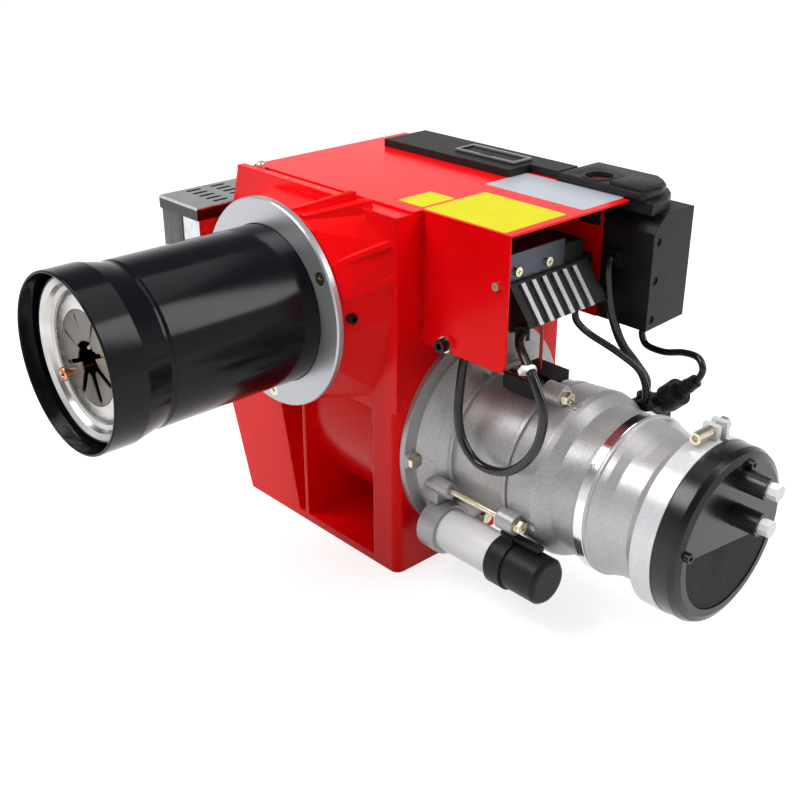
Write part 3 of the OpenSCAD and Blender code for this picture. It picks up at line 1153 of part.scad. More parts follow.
module loop_glands() color(black) {
    translate([176, 84, 5]) rotate([0, 0, -45]) translate([-4, -5, -5]) cube([4, 10, 10]);
    translate([131, 76, 2]) cube([10, 10.5, 8]);
}
module cable_tie() color(white) translate([205.75, 58.5, -4.6]) rotate([0, 126, 0]) rotate([18, 0, 0])
    difference() {
    union() {
        translate([0, 0, -1.5]) cylinder(r = 4.6, h = 3, $fn = 32);
        translate([-3, -7.5, -2]) cube([6, 4, 4]);
    }
    translate([0, 0, -3]) cylinder(r = 3.7, h = 6, $fn = 32);
}

// Groups of like pieces
module fan_wheel() { fan_body(); fan_set_screw(); }
module head_brackets() { head_spider(); electrode_clamp(); }
module oil_line() { nozzle(); nozzle_line(); }
module electrode_set() { insulators(); electrodes(); }
module bolts() { motor_bolts(); tie_rods(); tie_nuts(); pump_bolts(); clamp_bolt(); }
module capacitor_end() { capacitor_cap(); capacitor_clip(); }
module pump_rotor() { pump_shaft(); inner_rotor(); }
module pump_block() { pump_body(); translate([0.02, 0, 0]) { pump_plate(); cover_posts(); } }
module socket_screws() { cover_screws(); neck_screw(); cover_bolt(); }
module cross_screws() { flange_screws(); air_box_screws(); bracket_screws(); cover_screw(); cover_washer(); cover_stud(); ignition_screws(); unit_screws(); side_screws(); }
module damper() { damper_shaft(); damper_flap(); damper_screws(); }
module ignition_case() { ignition_unit(); loop_glands(); }
module ignition_metal() { ignition_fins(); ignition_plate(); }
module control_case() { control_unit(); reset_guide(); }
module connector_case() { connector_box(); box_screws(); box_glands(); }
module motor_terminals() { terminal_block(); terminal_feet(); socket(); motor_gland(); }

housing();
mounting_flange();
flange_gasket();
blast_tube();
flame_ring();
swirl_disc();
head_brackets();
oil_line();
electrode_set();
sight_tube();
line_guide();
fan_wheel();
motor_shaft();
rotor();
stator_core();
windings();
stator_shell();
front_bell();
rear_bell();
bolts();
bearing_outer();
bearing_inner();
can_clamp();
capacitor_can();
capacitor_end();
locating_ring();
pump_sleeve();
clamp_ring();
coupling();
pump_block();
pump_rotor();
outer_rotor();
pump_cover();
felt_pad();
socket_screws();
cross_screws();
port_fittings();
port_plugs();
air_box();
air_box_lid();
damper();
damper_lever();
folded_cover();
control_bracket();
ignition_case();
ignition_metal();
control_strip();
window_flap();
control_case();
reset_button();
connector_case();
motor_terminals();
plug();
loop_cable();
box_cable();
plug_cable();
lead_cable();
red_wires();
cable_tie();
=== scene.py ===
# %% [markdown]
# # An oil burner, dressed for the studio
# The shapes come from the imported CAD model. This script gives every part its finish, adds the
# small pieces that only show at a close look, and sets the floor, the lamps and the camera.

# %% Load the frame
import math

import bmesh
import bpy
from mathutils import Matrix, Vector


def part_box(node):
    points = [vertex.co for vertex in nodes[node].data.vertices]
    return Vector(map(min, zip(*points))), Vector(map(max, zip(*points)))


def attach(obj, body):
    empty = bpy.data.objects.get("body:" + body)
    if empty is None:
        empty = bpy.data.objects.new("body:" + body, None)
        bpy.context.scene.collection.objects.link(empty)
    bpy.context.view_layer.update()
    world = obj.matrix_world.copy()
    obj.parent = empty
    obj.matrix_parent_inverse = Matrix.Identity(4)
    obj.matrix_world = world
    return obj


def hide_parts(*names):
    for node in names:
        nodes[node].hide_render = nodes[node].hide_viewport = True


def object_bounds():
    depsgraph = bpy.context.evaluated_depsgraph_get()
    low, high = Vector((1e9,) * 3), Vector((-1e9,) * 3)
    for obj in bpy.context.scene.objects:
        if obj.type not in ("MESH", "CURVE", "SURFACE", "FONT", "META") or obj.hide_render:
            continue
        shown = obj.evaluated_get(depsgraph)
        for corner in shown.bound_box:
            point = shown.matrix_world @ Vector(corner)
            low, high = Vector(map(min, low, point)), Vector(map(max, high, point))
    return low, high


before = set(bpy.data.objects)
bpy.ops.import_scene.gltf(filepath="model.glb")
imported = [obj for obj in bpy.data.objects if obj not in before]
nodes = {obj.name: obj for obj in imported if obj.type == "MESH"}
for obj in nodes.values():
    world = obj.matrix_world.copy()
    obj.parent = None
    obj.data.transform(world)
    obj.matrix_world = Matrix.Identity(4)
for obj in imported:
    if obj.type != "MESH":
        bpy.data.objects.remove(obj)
cad_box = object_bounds()
MM = 0.001
print("CAD nodes:", len(nodes))

# %% [markdown]
# ## The camera
# The photograph looks down on the burner from its front right. The distance is short, so the blast
# tube swells towards the eye. A 52 mm lens on a 36 mm sensor gives the same frame. The view transform
# is Standard, so a colour shows as it is written.

# %% Camera
CAMERA_PLACE = (0.6604, -0.4790, 0.3086)
CAMERA_TURN = 47.2
CAMERA_DROP = 25.6
LENS_MM = 52.32
SENSOR_MM = 36
lens = bpy.data.cameras.new("studio_camera")
lens.lens = LENS_MM
lens.sensor_width = SENSOR_MM
camera = bpy.data.objects.new("studio_camera", lens)
bpy.context.scene.collection.objects.link(camera)
camera.location = CAMERA_PLACE
camera.rotation_euler = (
    math.radians(90 - CAMERA_DROP),
    0,
    math.radians(CAMERA_TURN),
)
bpy.context.scene.camera = camera
bpy.context.scene.view_settings.view_transform = "Standard"
print("camera at", CAMERA_PLACE)

# %% [markdown]
# ## The cables
# Four black cables and two red wires link the control box, the ignition block and the motor. Each
# one leaves a gland, bends once or twice and goes back into the object. The points are the same as
# in the CAD file, and a smooth line goes through them. A tube could be swept as a mesh, but a curve
# with a round bevel keeps route and thickness apart, so either one can change alone. Every point
# carries the radius of the cable, so the bounds of the curve take in its thickness.

# %% Cable routes, in millimetres as in the CAD file
LOOP_ROUTE = [(176, 84, 5), (184, 72, 4), (198, 62, 0), (213, 56, -11), (223, 54, -29),
              (220, 54, -52), (208, 55, -72), (189, 56, -87), (165, 57, -91), (149, 57, -80),
              (142, 58, -62), (139, 62, -42), (137, 67, -24), (136, 74, -10), (136, 80, 2)]
BOX_ROUTE = [(174, 183, 36), (174, 178, 35), (176, 175, 27), (179, 175, 10), (184, 176, -8),
             (191, 180, -26), (199, 189, -42), (204, 195.6, -55), (204, 196, -66)]
PLUG_ROUTE = [(192, 202, -18), (192, 202, -24), (198, 201, -30), (214, 200, -30),
              (232, 197, -24), (247, 193, -22), (254, 190, -28), (251, 190, -37),
              (249.6, 190, -38.4)]
LEAD_ROUTE = [(168, 150, 2), (169, 152, -6), (176, 158, -15), (196, 164, -24),
              (212, 172, -36), (218, 175, -50), (218, 176, -62)]
WIRE_ROUTE = [(158, 0, 5), (158, 0, 0), (159, 1, -12), (160, 0, -30), (160, 0, -38)]
WIRE_PLACES = (104, 124)
THICK_RADIUS = 3.4
LOOP_RADIUS = 3.3
THIN_RADIUS = 2.6
WIRE_RADIUS = 1.3
BEVEL_STEPS = 6
LINE_STEPS = 8


def smooth_line(points):
    """A cubic line that goes through the points with no corner, in metres."""
    line = []
    last = len(points) - 1
    for i in range(last):
        a, b, c, d = (Vector(points[min(max(k, 0), last)]) for k in (i - 1, i, i + 1, i + 2))
        for k in range(LINE_STEPS):
            t = k / LINE_STEPS
            line.append(0.5 * (2 * b + (c - a) * t + (2 * a - 5 * b + 4 * c - d) * t * t
                               + (3 * b - a - 3 * c + d) * t ** 3) * MM)
    line.append(Vector(points[-1]) * MM)
    return line


def cable(name, points, radius, node=None):
    """A round cable as a curve with one open spline."""
    line = smooth_line(points)
    curve = bpy.data.curves.new(name, "CURVE")
    curve.dimensions = "3D"
    curve.bevel_depth = 1.0
    curve.bevel_resolution = BEVEL_STEPS
    curve.use_fill_caps = True
    spline = curve.splines.new("POLY")
    spline.points.add(len(line) - 1)
    for point, place in zip(spline.points, line):
        point.co = (*place, 1)
        point.radius = radius * MM
    piece = bpy.data.objects.new(name, curve)
    bpy.context.scene.collection.objects.link(piece)
    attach(piece, "burner")
    if node:
        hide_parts(node)
    return piece


cables = [
    cable("ignition_lead", LOOP_ROUTE, LOOP_RADIUS, "loop_cable"),
    cable("motor_lead", BOX_ROUTE, THICK_RADIUS, "box_cable"),
    cable("plug_lead", PLUG_ROUTE, THIN_RADIUS, "plug_cable"),
    cable("socket_lead", LEAD_ROUTE, THIN_RADIUS, "lead_cable"),
]
wires = []
for y in WIRE_PLACES:
    route = [(x, y + step, z) for x, step, z in WIRE_ROUTE]
    wires.append(cable(f"red_wire_{y}", route, WIRE_RADIUS))
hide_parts("red_wires")

# %% [markdown]
# ## Finishes
# The next cells build the red paint step by step: a plain colour, then a mottled one, an uneven gloss
# and a fine relief. Picture textures could do the same, but formulas have no seams and need no file.

# %% A plain red
COAT_ROUGHNESS = 0.08
RED = (0.90, 0.001, 0.003)
RED_SHINE = (1.0, 0.22, 0.20, 1)


def finish(name, colour, roughness, metallic=0.0, coat=0.0, specular=0.5):
    """A material made from its plain values."""
    material = bpy.data.materials.new(name)
    material.use_nodes = True
    shader = material.node_tree.nodes["Principled BSDF"]
    shader.inputs["Base Color"].default_value = (*colour, 1)
    shader.inputs["Roughness"].default_value = roughness
    shader.inputs["Metallic"].default_value = metallic
    shader.inputs["Coat Weight"].default_value = coat
    shader.inputs["Coat Roughness"].default_value = COAT_ROUGHNESS
    shader.inputs["Specular IOR Level"].default_value = specular
    return material


casting_red = finish("red_paint_on_casting", RED, 0.26, specular=0.36)
sheet_red = finish("red_paint_on_sheet", RED, 0.24, specular=0.29)
for paint in (casting_red, sheet_red):
    paint.node_tree.nodes["Principled BSDF"].inputs["Specular Tint"].default_value = RED_SHINE
print("plain red, for the casting and the sheets")

# %% [markdown]
# ### Mottled colour
# No coat of paint is quite even. Noise picks between two close colours. It reads Object coordinates,
# so the pattern has the same size on every part and stays put when a joint moves.

# %% Mottled colour
MOTTLE_DETAIL = 4.0
FINE_DETAIL = 3.0


def noise(material, scale, detail, stretch):
    """A noise texture on Object coordinates, stretched where the finish has a direction."""
    tree = material.node_tree
    place = tree.nodes.new("ShaderNodeTexCoord")
    mapping = tree.nodes.new("ShaderNodeMapping")
    mapping.inputs["Scale"].default_value = stretch
    texture = tree.nodes.new("ShaderNodeTexNoise")
    texture.inputs["Scale"].default_value = scale
    texture.inputs["Detail"].default_value = detail
    tree.links.new(place.outputs["Object"], mapping.inputs["Vector"])
    tree.links.new(mapping.outputs["Vector"], texture.inputs["Vector"])
    return texture.outputs["Fac"]


def mottle(material, scale, dark, light, low=0.35, high=0.65, stretch=(1, 1, 1)):
    """Mixes two colours in patches. Low and high say where the noise turns from one to the other."""
    tree = material.node_tree
    ramp = tree.nodes.new("ShaderNodeValToRGB")
    ramp.color_ramp.elements[0].position = low
    ramp.color_ramp.elements[0].color = (*dark, 1)
    ramp.color_ramp.elements[1].position = high
    ramp.color_ramp.elements[1].color = (*light, 1)
    tree.links.new(noise(material, scale, MOTTLE_DETAIL, stretch), ramp.inputs["Fac"])
    tree.links.new(ramp.outputs["Color"], tree.nodes["Principled BSDF"].inputs["Base Color"])


mottle(casting_red, 60, (0.92, 0.001, 0.003), (0.97, 0.001, 0.004))
mottle(sheet_red, 30, (0.88, 0.001, 0.003), (0.95, 0.001, 0.004))
print("mottled red")

# %% [markdown]
# ### Uneven gloss
# A real gloss changes a little from place to place, which breaks up the edge of each reflection. The
# noise is spread between two roughness values.

# %% Uneven gloss


def map_range(tree, value, start=0.0, end=1.0, low=0.0, high=1.0):
    """Turns a value that runs from start to end into one that runs from low to high."""
    span = tree.nodes.new("ShaderNodeMapRange")
    span.inputs["From Min"].default_value = start
    span.inputs["From Max"].default_value = end
    span.inputs["To Min"].default_value = low
    span.inputs["To Max"].default_value = high
    tree.links.new(value, span.inputs["Value"])
    return span.outputs["Result"]


def uneven_gloss(material, scale, low, high, stretch=(1, 1, 1)):
    """Lets the roughness wander between two values."""
    tree = material.node_tree
    gloss = map_range(tree, noise(material, scale, FINE_DETAIL, stretch), low=low, high=high)
    tree.links.new(gloss, tree.nodes["Principled BSDF"].inputs["Roughness"])


uneven_gloss(casting_red, 220, 0.20, 0.32)
uneven_gloss(sheet_red, 120, 0.20, 0.28)
print("red with an uneven gloss")

# %% [markdown]
# ### Fine relief, and the finished red paint
# The casting and the folded cover carry the same red, but the casting shows its skin: long soft
# waves and a fine orange peel. The sheet is flatter, so its reflections are sharper. A relief this
# fine needs no mesh, so the shader tilts the surface, and it also rounds the sharp edges.

# %% Fine relief
EDGE_SAMPLES = 6


def relief(material, scale, height_mm, strength=0.5, stretch=(1, 1, 1), edge_mm=0):
    """A fine relief. With edge_mm, the light also rounds the sharp edges by that radius."""
    tree = material.node_tree
    bump = tree.nodes.new("ShaderNodeBump")
    bump.inputs["Strength"].default_value = strength
    bump.inputs["Distance"].default_value = height_mm * MM
    tree.links.new(noise(material, scale, FINE_DETAIL, stretch), bump.inputs["Height"])
    if edge_mm:
        edge = tree.nodes.new("ShaderNodeBevel")
        edge.samples = EDGE_SAMPLES
        edge.inputs["Radius"].default_value = edge_mm * MM
        tree.links.new(edge.outputs["Normal"], bump.inputs["Normal"])
    shader = tree.nodes["Principled BSDF"]
    for socket in ("Normal", "Coat Normal"):
        tree.links.new(bump.outputs["Normal"], shader.inputs[socket])


def dress(material, *names):
    """Puts the material on CAD nodes."""
    for name in names:
        mesh = nodes[name].data
        mesh.materials.clear()
        mesh.materials.append(material)


relief(casting_red, 240, 0.10, 0.16, edge_mm=1.6)
relief(sheet_red, 900, 0.04, 0.2, edge_mm=0.6)
dress(casting_red, "housing")
dress(sheet_red, "folded_cover", "control_bracket")
print("red paint on the casting and two sheets")

# %% [markdown]
# ### Cast and sheet metal
# The motor bells are rough castings, so they are grey, matt and lightly pitted. Turned rings are
# bright, with fine lines round the shaft: the same noise, stretched. Galvanised sheet shows small
# pale crystals. The head has a bright outer ring, and its petals are a darker brown.

# %% Cast metal
blasted = finish("blasted_aluminium", (0.46, 0.455, 0.45), 0.36, metallic=0.4)
mottle(blasted, 700, (0.39, 0.385, 0.385), (0.49, 0.485, 0.485))
uneven_gloss(blasted, 260, 0.30, 0.44)
relief(blasted, 900, 0.22, 0.45, edge_mm=1.2)
dress(blasted, "front_bell", "rear_bell", "stator_shell", "can_clamp", "pump_block", "line_guide")
fine_cast = finish("fine_cast_aluminium", (0.50, 0.49, 0.48), 0.32, metallic=0.45)
mottle(fine_cast, 900, (0.46, 0.45, 0.445), (0.56, 0.55, 0.545))
relief(fine_cast, 1100, 0.15, 0.4, edge_mm=0.8)
dress(fine_cast, "pump_sleeve")
smooth_cast = finish("smooth_flange_aluminium", (0.52, 0.53, 0.55), 0.30, metallic=0.7)
uneven_gloss(smooth_cast, 300, 0.26, 0.36)
relief(smooth_cast, 1400, 0.05, 0.3, edge_mm=0.8)
dress(smooth_cast, "mounting_flange")
band = finish("grey_painted_band", (0.78, 0.79, 0.81), 0.30, metallic=0.3)
mottle(band, 400, (0.70, 0.71, 0.73), (0.77, 0.78, 0.80))
relief(band, 800, 0.08, 0.3, edge_mm=0.6)
dress(band, "clamp_ring")
turned = finish("turned_steel", (0.78, 0.78, 0.79), 0.16, metallic=1.0)
uneven_gloss(turned, 60, 0.10, 0.22, (30, 1, 1))
relief(turned, 400, 0.03, 0.3, stretch=(12, 1, 1))
dress(turned, "locating_ring", "motor_shaft", "bearing_outer", "bearing_inner", "pump_rotor",
      "outer_rotor")
print("materials so far:", len(bpy.data.materials))

# %% [markdown]
# ### Two tints on one sheet
# The folded skirt of the air box lid is painted darker than its top, as painted shade on the skirt,
# and the ignition unit's dark plate shares a CAD node with its bare fins. Two materials could be given
# to single faces, but one material does it too, with a tint that changes at a place on an axis.

# %% Sheet metal
ZONE_BLEND = 0.3
LID_SHADE_EDGE_Z = 44.6
MIX_FACTOR, MIX_FIRST, MIX_SECOND, MIX_RESULT = 0, 6, 7, 2


def zone(material, axis, start_mm, first, second):
    """Tints the colour, with one tint below a place on an axis and another beyond it."""
    tree = material.node_tree
    place = tree.nodes.new("ShaderNodeTexCoord")
    axes = tree.nodes.new("ShaderNodeSeparateXYZ")
    tree.links.new(place.outputs["Object"], axes.inputs["Vector"])
    beyond = map_range(tree, axes.outputs[axis], (start_mm - ZONE_BLEND) * MM,
                       (start_mm + ZONE_BLEND) * MM)
    tint = tree.nodes.new("ShaderNodeMix")
    tint.data_type = "RGBA"
    tint.inputs[MIX_FIRST].default_value = (*first, 1)
    tint.inputs[MIX_SECOND].default_value = (*second, 1)
    tree.links.new(beyond, tint.inputs[MIX_FACTOR])
    mix = tree.nodes.new("ShaderNodeMix")
    mix.data_type = "RGBA"
    mix.blend_type = "MULTIPLY"
    mix.inputs[MIX_FACTOR].default_value = 1.0
    base = tree.nodes["Principled BSDF"].inputs["Base Color"]
    tree.links.new(base.links[0].from_socket, mix.inputs[MIX_FIRST])
    tree.links.new(tint.outputs[MIX_RESULT], mix.inputs[MIX_SECOND])
    tree.links.new(mix.outputs[MIX_RESULT], base)


zinc_sheet = finish("galvanised_sheet", (0.62, 0.64, 0.66), 0.35, metallic=1.0)
mottle(zinc_sheet, 170, (0.58, 0.60, 0.62), (0.68, 0.70, 0.72), 0.4, 0.6)
uneven_gloss(zinc_sheet, 170, 0.28, 0.40)
dress(zinc_sheet, "air_box", "damper", "fan_wheel", "head_brackets")
lid_zinc_painted_shade = finish("galvanised_lid_painted_shade", (0.62, 0.64, 0.66), 0.35, metallic=1.0)
mottle(lid_zinc_painted_shade, 170, (0.54, 0.56, 0.58), (0.66, 0.68, 0.70), 0.4, 0.6)
uneven_gloss(lid_zinc_painted_shade, 170, 0.26, 0.38)
# The skirt below the lid's edge is painted dark as painted shade, and the top keeps a lighter tint.
zone(lid_zinc_painted_shade, "Z", LID_SHADE_EDGE_Z, (0.10, 0.095, 0.09), (0.80, 0.80, 0.80))
dress(lid_zinc_painted_shade, "air_box_lid")
stainless = finish("head_steel", (0.78, 0.77, 0.74), 0.24, metallic=1.0)
mottle(stainless, 50, (0.52, 0.50, 0.48), (0.66, 0.65, 0.64))
uneven_gloss(stainless, 200, 0.18, 0.32)
dress(stainless, "flame_ring")
# The petals get a darker brown steel than the ring.
dark_petal_steel = finish("dark_brown_petal_steel", (0.20, 0.17, 0.15), 0.42, metallic=0.4)
mottle(dark_petal_steel, 45, (0.14, 0.118, 0.105), (0.22, 0.19, 0.17))
uneven_gloss(dark_petal_steel, 180, 0.28, 0.42)
laminations = finish("stacked_iron", (0.30, 0.30, 0.30), 0.45, metallic=0.9)
relief(laminations, 900, 0.2, 0.6, stretch=(3, 0.1, 0.1))
dress(laminations, "rotor", "stator_core")
print("materials so far:", len(bpy.data.materials))

# %% [markdown]
# ### Plated screws, brass and copper
# Screws are zinc plated with a pale yellow cast that changes over each head. The nozzle line is brass
# and the sight tube copper. All of these are set fully metallic, so the colour tints what they
# reflect. The ignition fins are bare metal, a little duller.

# %% Plating, brass and copper
plating = finish("yellow_zinc", (0.72, 0.66, 0.48), 0.28, metallic=1.0)
mottle(plating, 260, (0.62, 0.56, 0.38), (0.80, 0.76, 0.62))
dress(plating, "bolts", "cross_screws")
brass = finish("brass", (0.72, 0.50, 0.22), 0.25, metallic=1.0)
uneven_gloss(brass, 300, 0.18, 0.34)
dress(brass, "oil_line")
copper = finish("copper", (0.72, 0.33, 0.20), 0.25, metallic=1.0)
mottle(copper, 300, (0.62, 0.26, 0.15), (0.78, 0.40, 0.26))
dress(copper, "sight_tube", "windings")
plated_fitting = finish("plated_fitting", (0.022, 0.022, 0.025), 0.28, metallic=0.2)
uneven_gloss(plated_fitting, 300, 0.22, 0.34)
dress(plated_fitting, "port_fittings")
fins = finish("extruded_fins", (0.80, 0.81, 0.82), 0.32, metallic=0.8)
mottle(fins, 120, (0.76, 0.77, 0.78), (0.84, 0.85, 0.86), stretch=(0.2, 1, 0.2))
uneven_gloss(fins, 120, 0.30, 0.36, (0.2, 1, 0.2))
PLATE_END_X = 160
zone(fins, "X", PLATE_END_X, (0.10, 0.11, 0.13), (0.7, 0.7, 0.7))
dress(fins, "ignition_metal")
print("materials so far:", len(bpy.data.materials))

# %% [markdown]
# ### Black parts
# The tube is stove enamelled, the pump cover is a painted casting, and the boxes are moulded with a
# spark-eroded grain. They are all black, so only gloss and grain tell them apart. The colours stay
# near black, and each finish gets its own roughness and relief instead.

# %% Black paint and plastic
tube_black = finish("black_enamel", (0.005, 0.006, 0.008), 0.15, specular=0.17)
uneven_gloss(tube_black, 140, 0.12, 0.18)
relief(tube_black, 700, 0.03, 0.25, edge_mm=1.2)
dress(tube_black, "blast_tube")
cover_black = finish("black_cast_paint", (0.007, 0.007, 0.008), 0.20, specular=0.42)
uneven_gloss(cover_black, 260, 0.18, 0.28)
relief(cover_black, 600, 0.10, 0.35, edge_mm=1.0)
dress(cover_black, "pump_cover")
moulded = finish("grained_moulding", (0.010, 0.010, 0.011), 0.42, specular=0.22)
mottle(moulded, 120, (0.010, 0.010, 0.011), (0.015, 0.015, 0.016))
uneven_gloss(moulded, 300, 0.36, 0.50)
relief(moulded, 1600, 0.07, 0.4, edge_mm=0.8)
dress(moulded, "control_strip", "control_case", "connector_case", "ignition_case", "window_flap",
      "motor_terminals", "plug", "capacitor_end", "damper_lever", "coupling")
oxide = finish("black_oxide", (0.02, 0.02, 0.021), 0.3, metallic=0.7)
uneven_gloss(oxide, 500, 0.22, 0.38)
dress(oxide, "socket_screws")
felt = finish("felt", (0.022, 0.022, 0.022), 0.95)
mottle(felt, 900, (0.012, 0.012, 0.012), (0.045, 0.045, 0.045))
relief(felt, 1500, 0.7, 0.9)
dress(felt, "felt_pad")
sheath = finish("cable_sheath", (0.008, 0.008, 0.008), 0.25)
uneven_gloss(sheath, 220, 0.18, 0.30)
relief(sheath, 900, 0.05, 0.3)
for piece in cables:
    piece.data.materials.append(sheath)

# %% [markdown]
# ### Small light and red parts
# The port plugs and the cable tie are white plastic, and the capacitor wears a white film. The reset
# key and two wires are red, and the key's red is painted nearly black as painted shade in its deep
# bore.
# Plain mouldings need little: a faint mottle, or an uneven gloss. The insulators are glazed, so they
# get a clear coat, and the gasket is rough fibre.

# %% White, red and grey parts
white_plastic = finish("white_caps", (0.90, 0.91, 0.92), 0.35)
mottle(white_plastic, 160, (0.87, 0.88, 0.89), (0.93, 0.94, 0.95))
dress(white_plastic, "port_plugs", "cable_tie")
can_film = finish("capacitor_film", (0.92, 0.92, 0.92), 0.30, coat=0.3)
mottle(can_film, 60, (0.90, 0.90, 0.90), (0.95, 0.95, 0.95))
dress(can_film, "capacitor_can")
# The key's red is painted nearly black: painted shade for the deep bore it sits in.
key_red_painted_shade = finish("red_key_painted_shade", (0.12, 0.003, 0.003), 0.35)
uneven_gloss(key_red_painted_shade, 300, 0.25, 0.38)
dress(key_red_painted_shade, "reset_button")
wire_red = finish("red_wire", (0.55, 0.015, 0.01), 0.4)
uneven_gloss(wire_red, 300, 0.34, 0.46)
for piece in wires:
    piece.data.materials.append(wire_red)
porcelain = finish("porcelain", (0.82, 0.80, 0.75), 0.2, coat=0.5)
mottle(porcelain, 200, (0.78, 0.76, 0.71), (0.86, 0.84, 0.80))
dress(porcelain, "electrode_set")
gasket = finish("fibre_gasket", (0.30, 0.30, 0.29), 0.9)
mottle(gasket, 600, (0.22, 0.22, 0.21), (0.38, 0.38, 0.37))
relief(gasket, 900, 0.2, 0.6)
dress(gasket, "flange_gasket")
print("materials so far:", len(bpy.data.materials))

# %% [markdown]
# ## Control unit
# The control unit has a moulded head with soft corners. Its top plate hangs over the body, a small
# lid stands proud on the right, and the reset key sits deep in a round bore. Each layer is one
# outline, filled, pushed up and bevelled, which is how such a moulding is drawn.

# %% Moulded layers with soft edges
ROUND_POINTS = 48
FLAT_ANGLE = 0.01
SHARP_ANGLE = 0.5
SMOOTH_UNDER = math.radians(35)
SOFT_STEPS = 3
COVER_TOP = 81.5
UNIT_TOP = 87.6
KEY_PLACE = (142, 201)
BORE_RADIUS = 10.5
COLLAR_RADIUS = 13
GUIDE_RADIUS = 9.3


def round_outline(centre, radius):
    turns = [math.tau * k / ROUND_POINTS for k in range(ROUND_POINTS)]
    return [(centre[0] + radius * math.cos(t), centre[1] + radius * math.sin(t)) for t in turns]


def layer(mesh, outline, low, high, soft, hole=None):
    """Adds one layer of a moulding to the mesh: an outline with at most one hole, and soft edges."""
    part = bmesh.new()
    for loop in filter(None, (outline, hole)):
        verts = [part.verts.new((x * MM, y * MM, low * MM)) for x, y in loop]
        for a, b in zip(verts, verts[1:] + verts[:1]):
            part.edges.new((a, b))
    bmesh.ops.triangle_fill(part, use_beauty=True, edges=part.edges[:])
    bmesh.ops.dissolve_limit(part, angle_limit=FLAT_ANGLE, verts=part.verts[:], edges=part.edges[:])
    raised = bmesh.ops.extrude_face_region(part, geom=part.faces[:])
    top = [v for v in raised["geom"] if isinstance(v, bmesh.types.BMVert)]
    bmesh.ops.translate(part, vec=(0, 0, (high - low) * MM), verts=top)
    bmesh.ops.recalc_face_normals(part, faces=part.faces[:])
    sharp = [e for e in part.edges if len(e.link_faces) == 2 and e.calc_face_angle() > SHARP_ANGLE]
    bmesh.ops.bevel(part, geom=sharp, offset=soft * MM, segments=SOFT_STEPS, profile=0.5,
                    affect="EDGES", material=-1, clamp_overlap=True)
    copy = bpy.data.meshes.new("layer")
    part.to_mesh(copy)
    part.free()
    mesh.from_mesh(copy)
    bpy.data.meshes.remove(copy)


def piece_of(mesh, name, material, body="burner"):
    """Turns the mesh into an object that rides on a body."""
    data = bpy.data.meshes.new(name)
    mesh.to_mesh(data)
    mesh.free()
    data.shade_smooth()
    data.set_sharp_from_angle(angle=SMOOTH_UNDER)
    data.materials.append(material)
    piece = bpy.data.objects.new(name, data)
    bpy.context.scene.collection.objects.link(piece)
    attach(piece, body)
    return piece


# %% The control unit
UNIT_BODY = [(114, 186), (157.4, 186), (157.4, 234), (114, 234)]
UNIT_DECK = [(114, 188.2), (200, 188.2), (199, 206), (192, 221), (183, 230), (170, 234), (114, 234)]
UNIT_PLATE = [(114, 186.5), (191, 185), (194, 187), (194, 206), (188, 220), (180, 228), (170, 235),
              (114, 235)]
UNIT_LID = [(161, 187.5), (191, 187), (191.5, 213), (162, 214)]
bore = round_outline(KEY_PLACE, BORE_RADIUS)
collar = round_outline(KEY_PLACE, COLLAR_RADIUS)
sleeve = round_outline(KEY_PLACE, BORE_RADIUS + 0.2)
guide = round_outline(KEY_PLACE, GUIDE_RADIUS)
unit = bmesh.new()
layer(unit, UNIT_BODY, low=56, high=72.2, soft=0.6, hole=bore)
layer(unit, UNIT_DECK, low=72, high=81.7, soft=0.8, hole=bore)
layer(unit, UNIT_PLATE, low=COVER_TOP, high=UNIT_TOP, soft=1.2, hole=bore)
layer(unit, UNIT_LID, low=UNIT_TOP - 0.2, high=90.4, soft=0.8)
layer(unit, collar, low=UNIT_TOP - 0.4, high=88.3, soft=0.4, hole=bore)
layer(unit, sleeve, low=63.5, high=75, soft=0.2, hole=guide)
unit_head = piece_of(unit, "unit_head", moulded)
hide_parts("control_case")
print("control unit faces:", len(unit_head.data.polygons))

# %% [markdown]
# ## Window frame on the strip
# The window in the black strip has a frame of smoother grey plastic, which catches the light as a
# thin bright outline. It is one more moulded layer, an outline with a hole.

# %% Window frame
FRAME_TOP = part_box("control_strip")[1][2] / MM + 0.4
FRAME_DEPTH = 1.6
frame_grey = finish("grey_frame", (0.20, 0.21, 0.22), 0.22)
uneven_gloss(frame_grey, 300, 0.18, 0.28)
FRAME_OUTSIDE = [(13.6, 179.6), (76.4, 179.6), (76.4, 201.4), (13.6, 201.4)]
FRAME_INSIDE = [(16, 182), (74, 182), (74, 199), (16, 199)]
rim = bmesh.new()
layer(rim, FRAME_OUTSIDE, low=FRAME_TOP - FRAME_DEPTH, high=FRAME_TOP, soft=0.3, hole=FRAME_INSIDE)
piece_of(rim, "window_frame", frame_grey)
print("frame top at", round(FRAME_TOP, 1), "mm")

# %% [markdown]
# ## Petals of the combustion head
# The air leaves the head between eight broad steel petals. They join the rim outside and twist more
# and more towards the middle, so a dark slot opens beside each one. One petal could be copied round,
# but eight grids, each bent at its own turn, are joined at the rim in one step.

# %% Petals
PETALS = 8
PETAL_IN, PETAL_OUT = 12.5, 33.4
PETAL_JOINED = 31.5
PETAL_LIFT = 0.9
PETAL_CURL = 0.6
SLOT_HALF = 1.6
PETAL_ROWS, PETAL_STRIPS = 12, 6
PETAL_SHEET = 0.9
MERGE_REACH = 0.05
DISC_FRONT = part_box("swirl_disc")[0][1] / MM + 0.5


def bend_to_petal(point, turn):
    """Moves a point of a flat grid to its place on a petal."""
    along, across = point.x + 0.5, point.y * 2
    reach = PETAL_IN + along * (PETAL_OUT - PETAL_IN)
    half = math.pi / PETALS
    if reach < PETAL_JOINED:
        half -= SLOT_HALF / reach
    angle = turn + across * half
    lift = PETAL_LIFT * across * (1 - along) ** PETAL_CURL
    point.xyz = (reach * math.cos(angle) * MM, (DISC_FRONT - lift) * MM, reach * math.sin(angle) * MM)


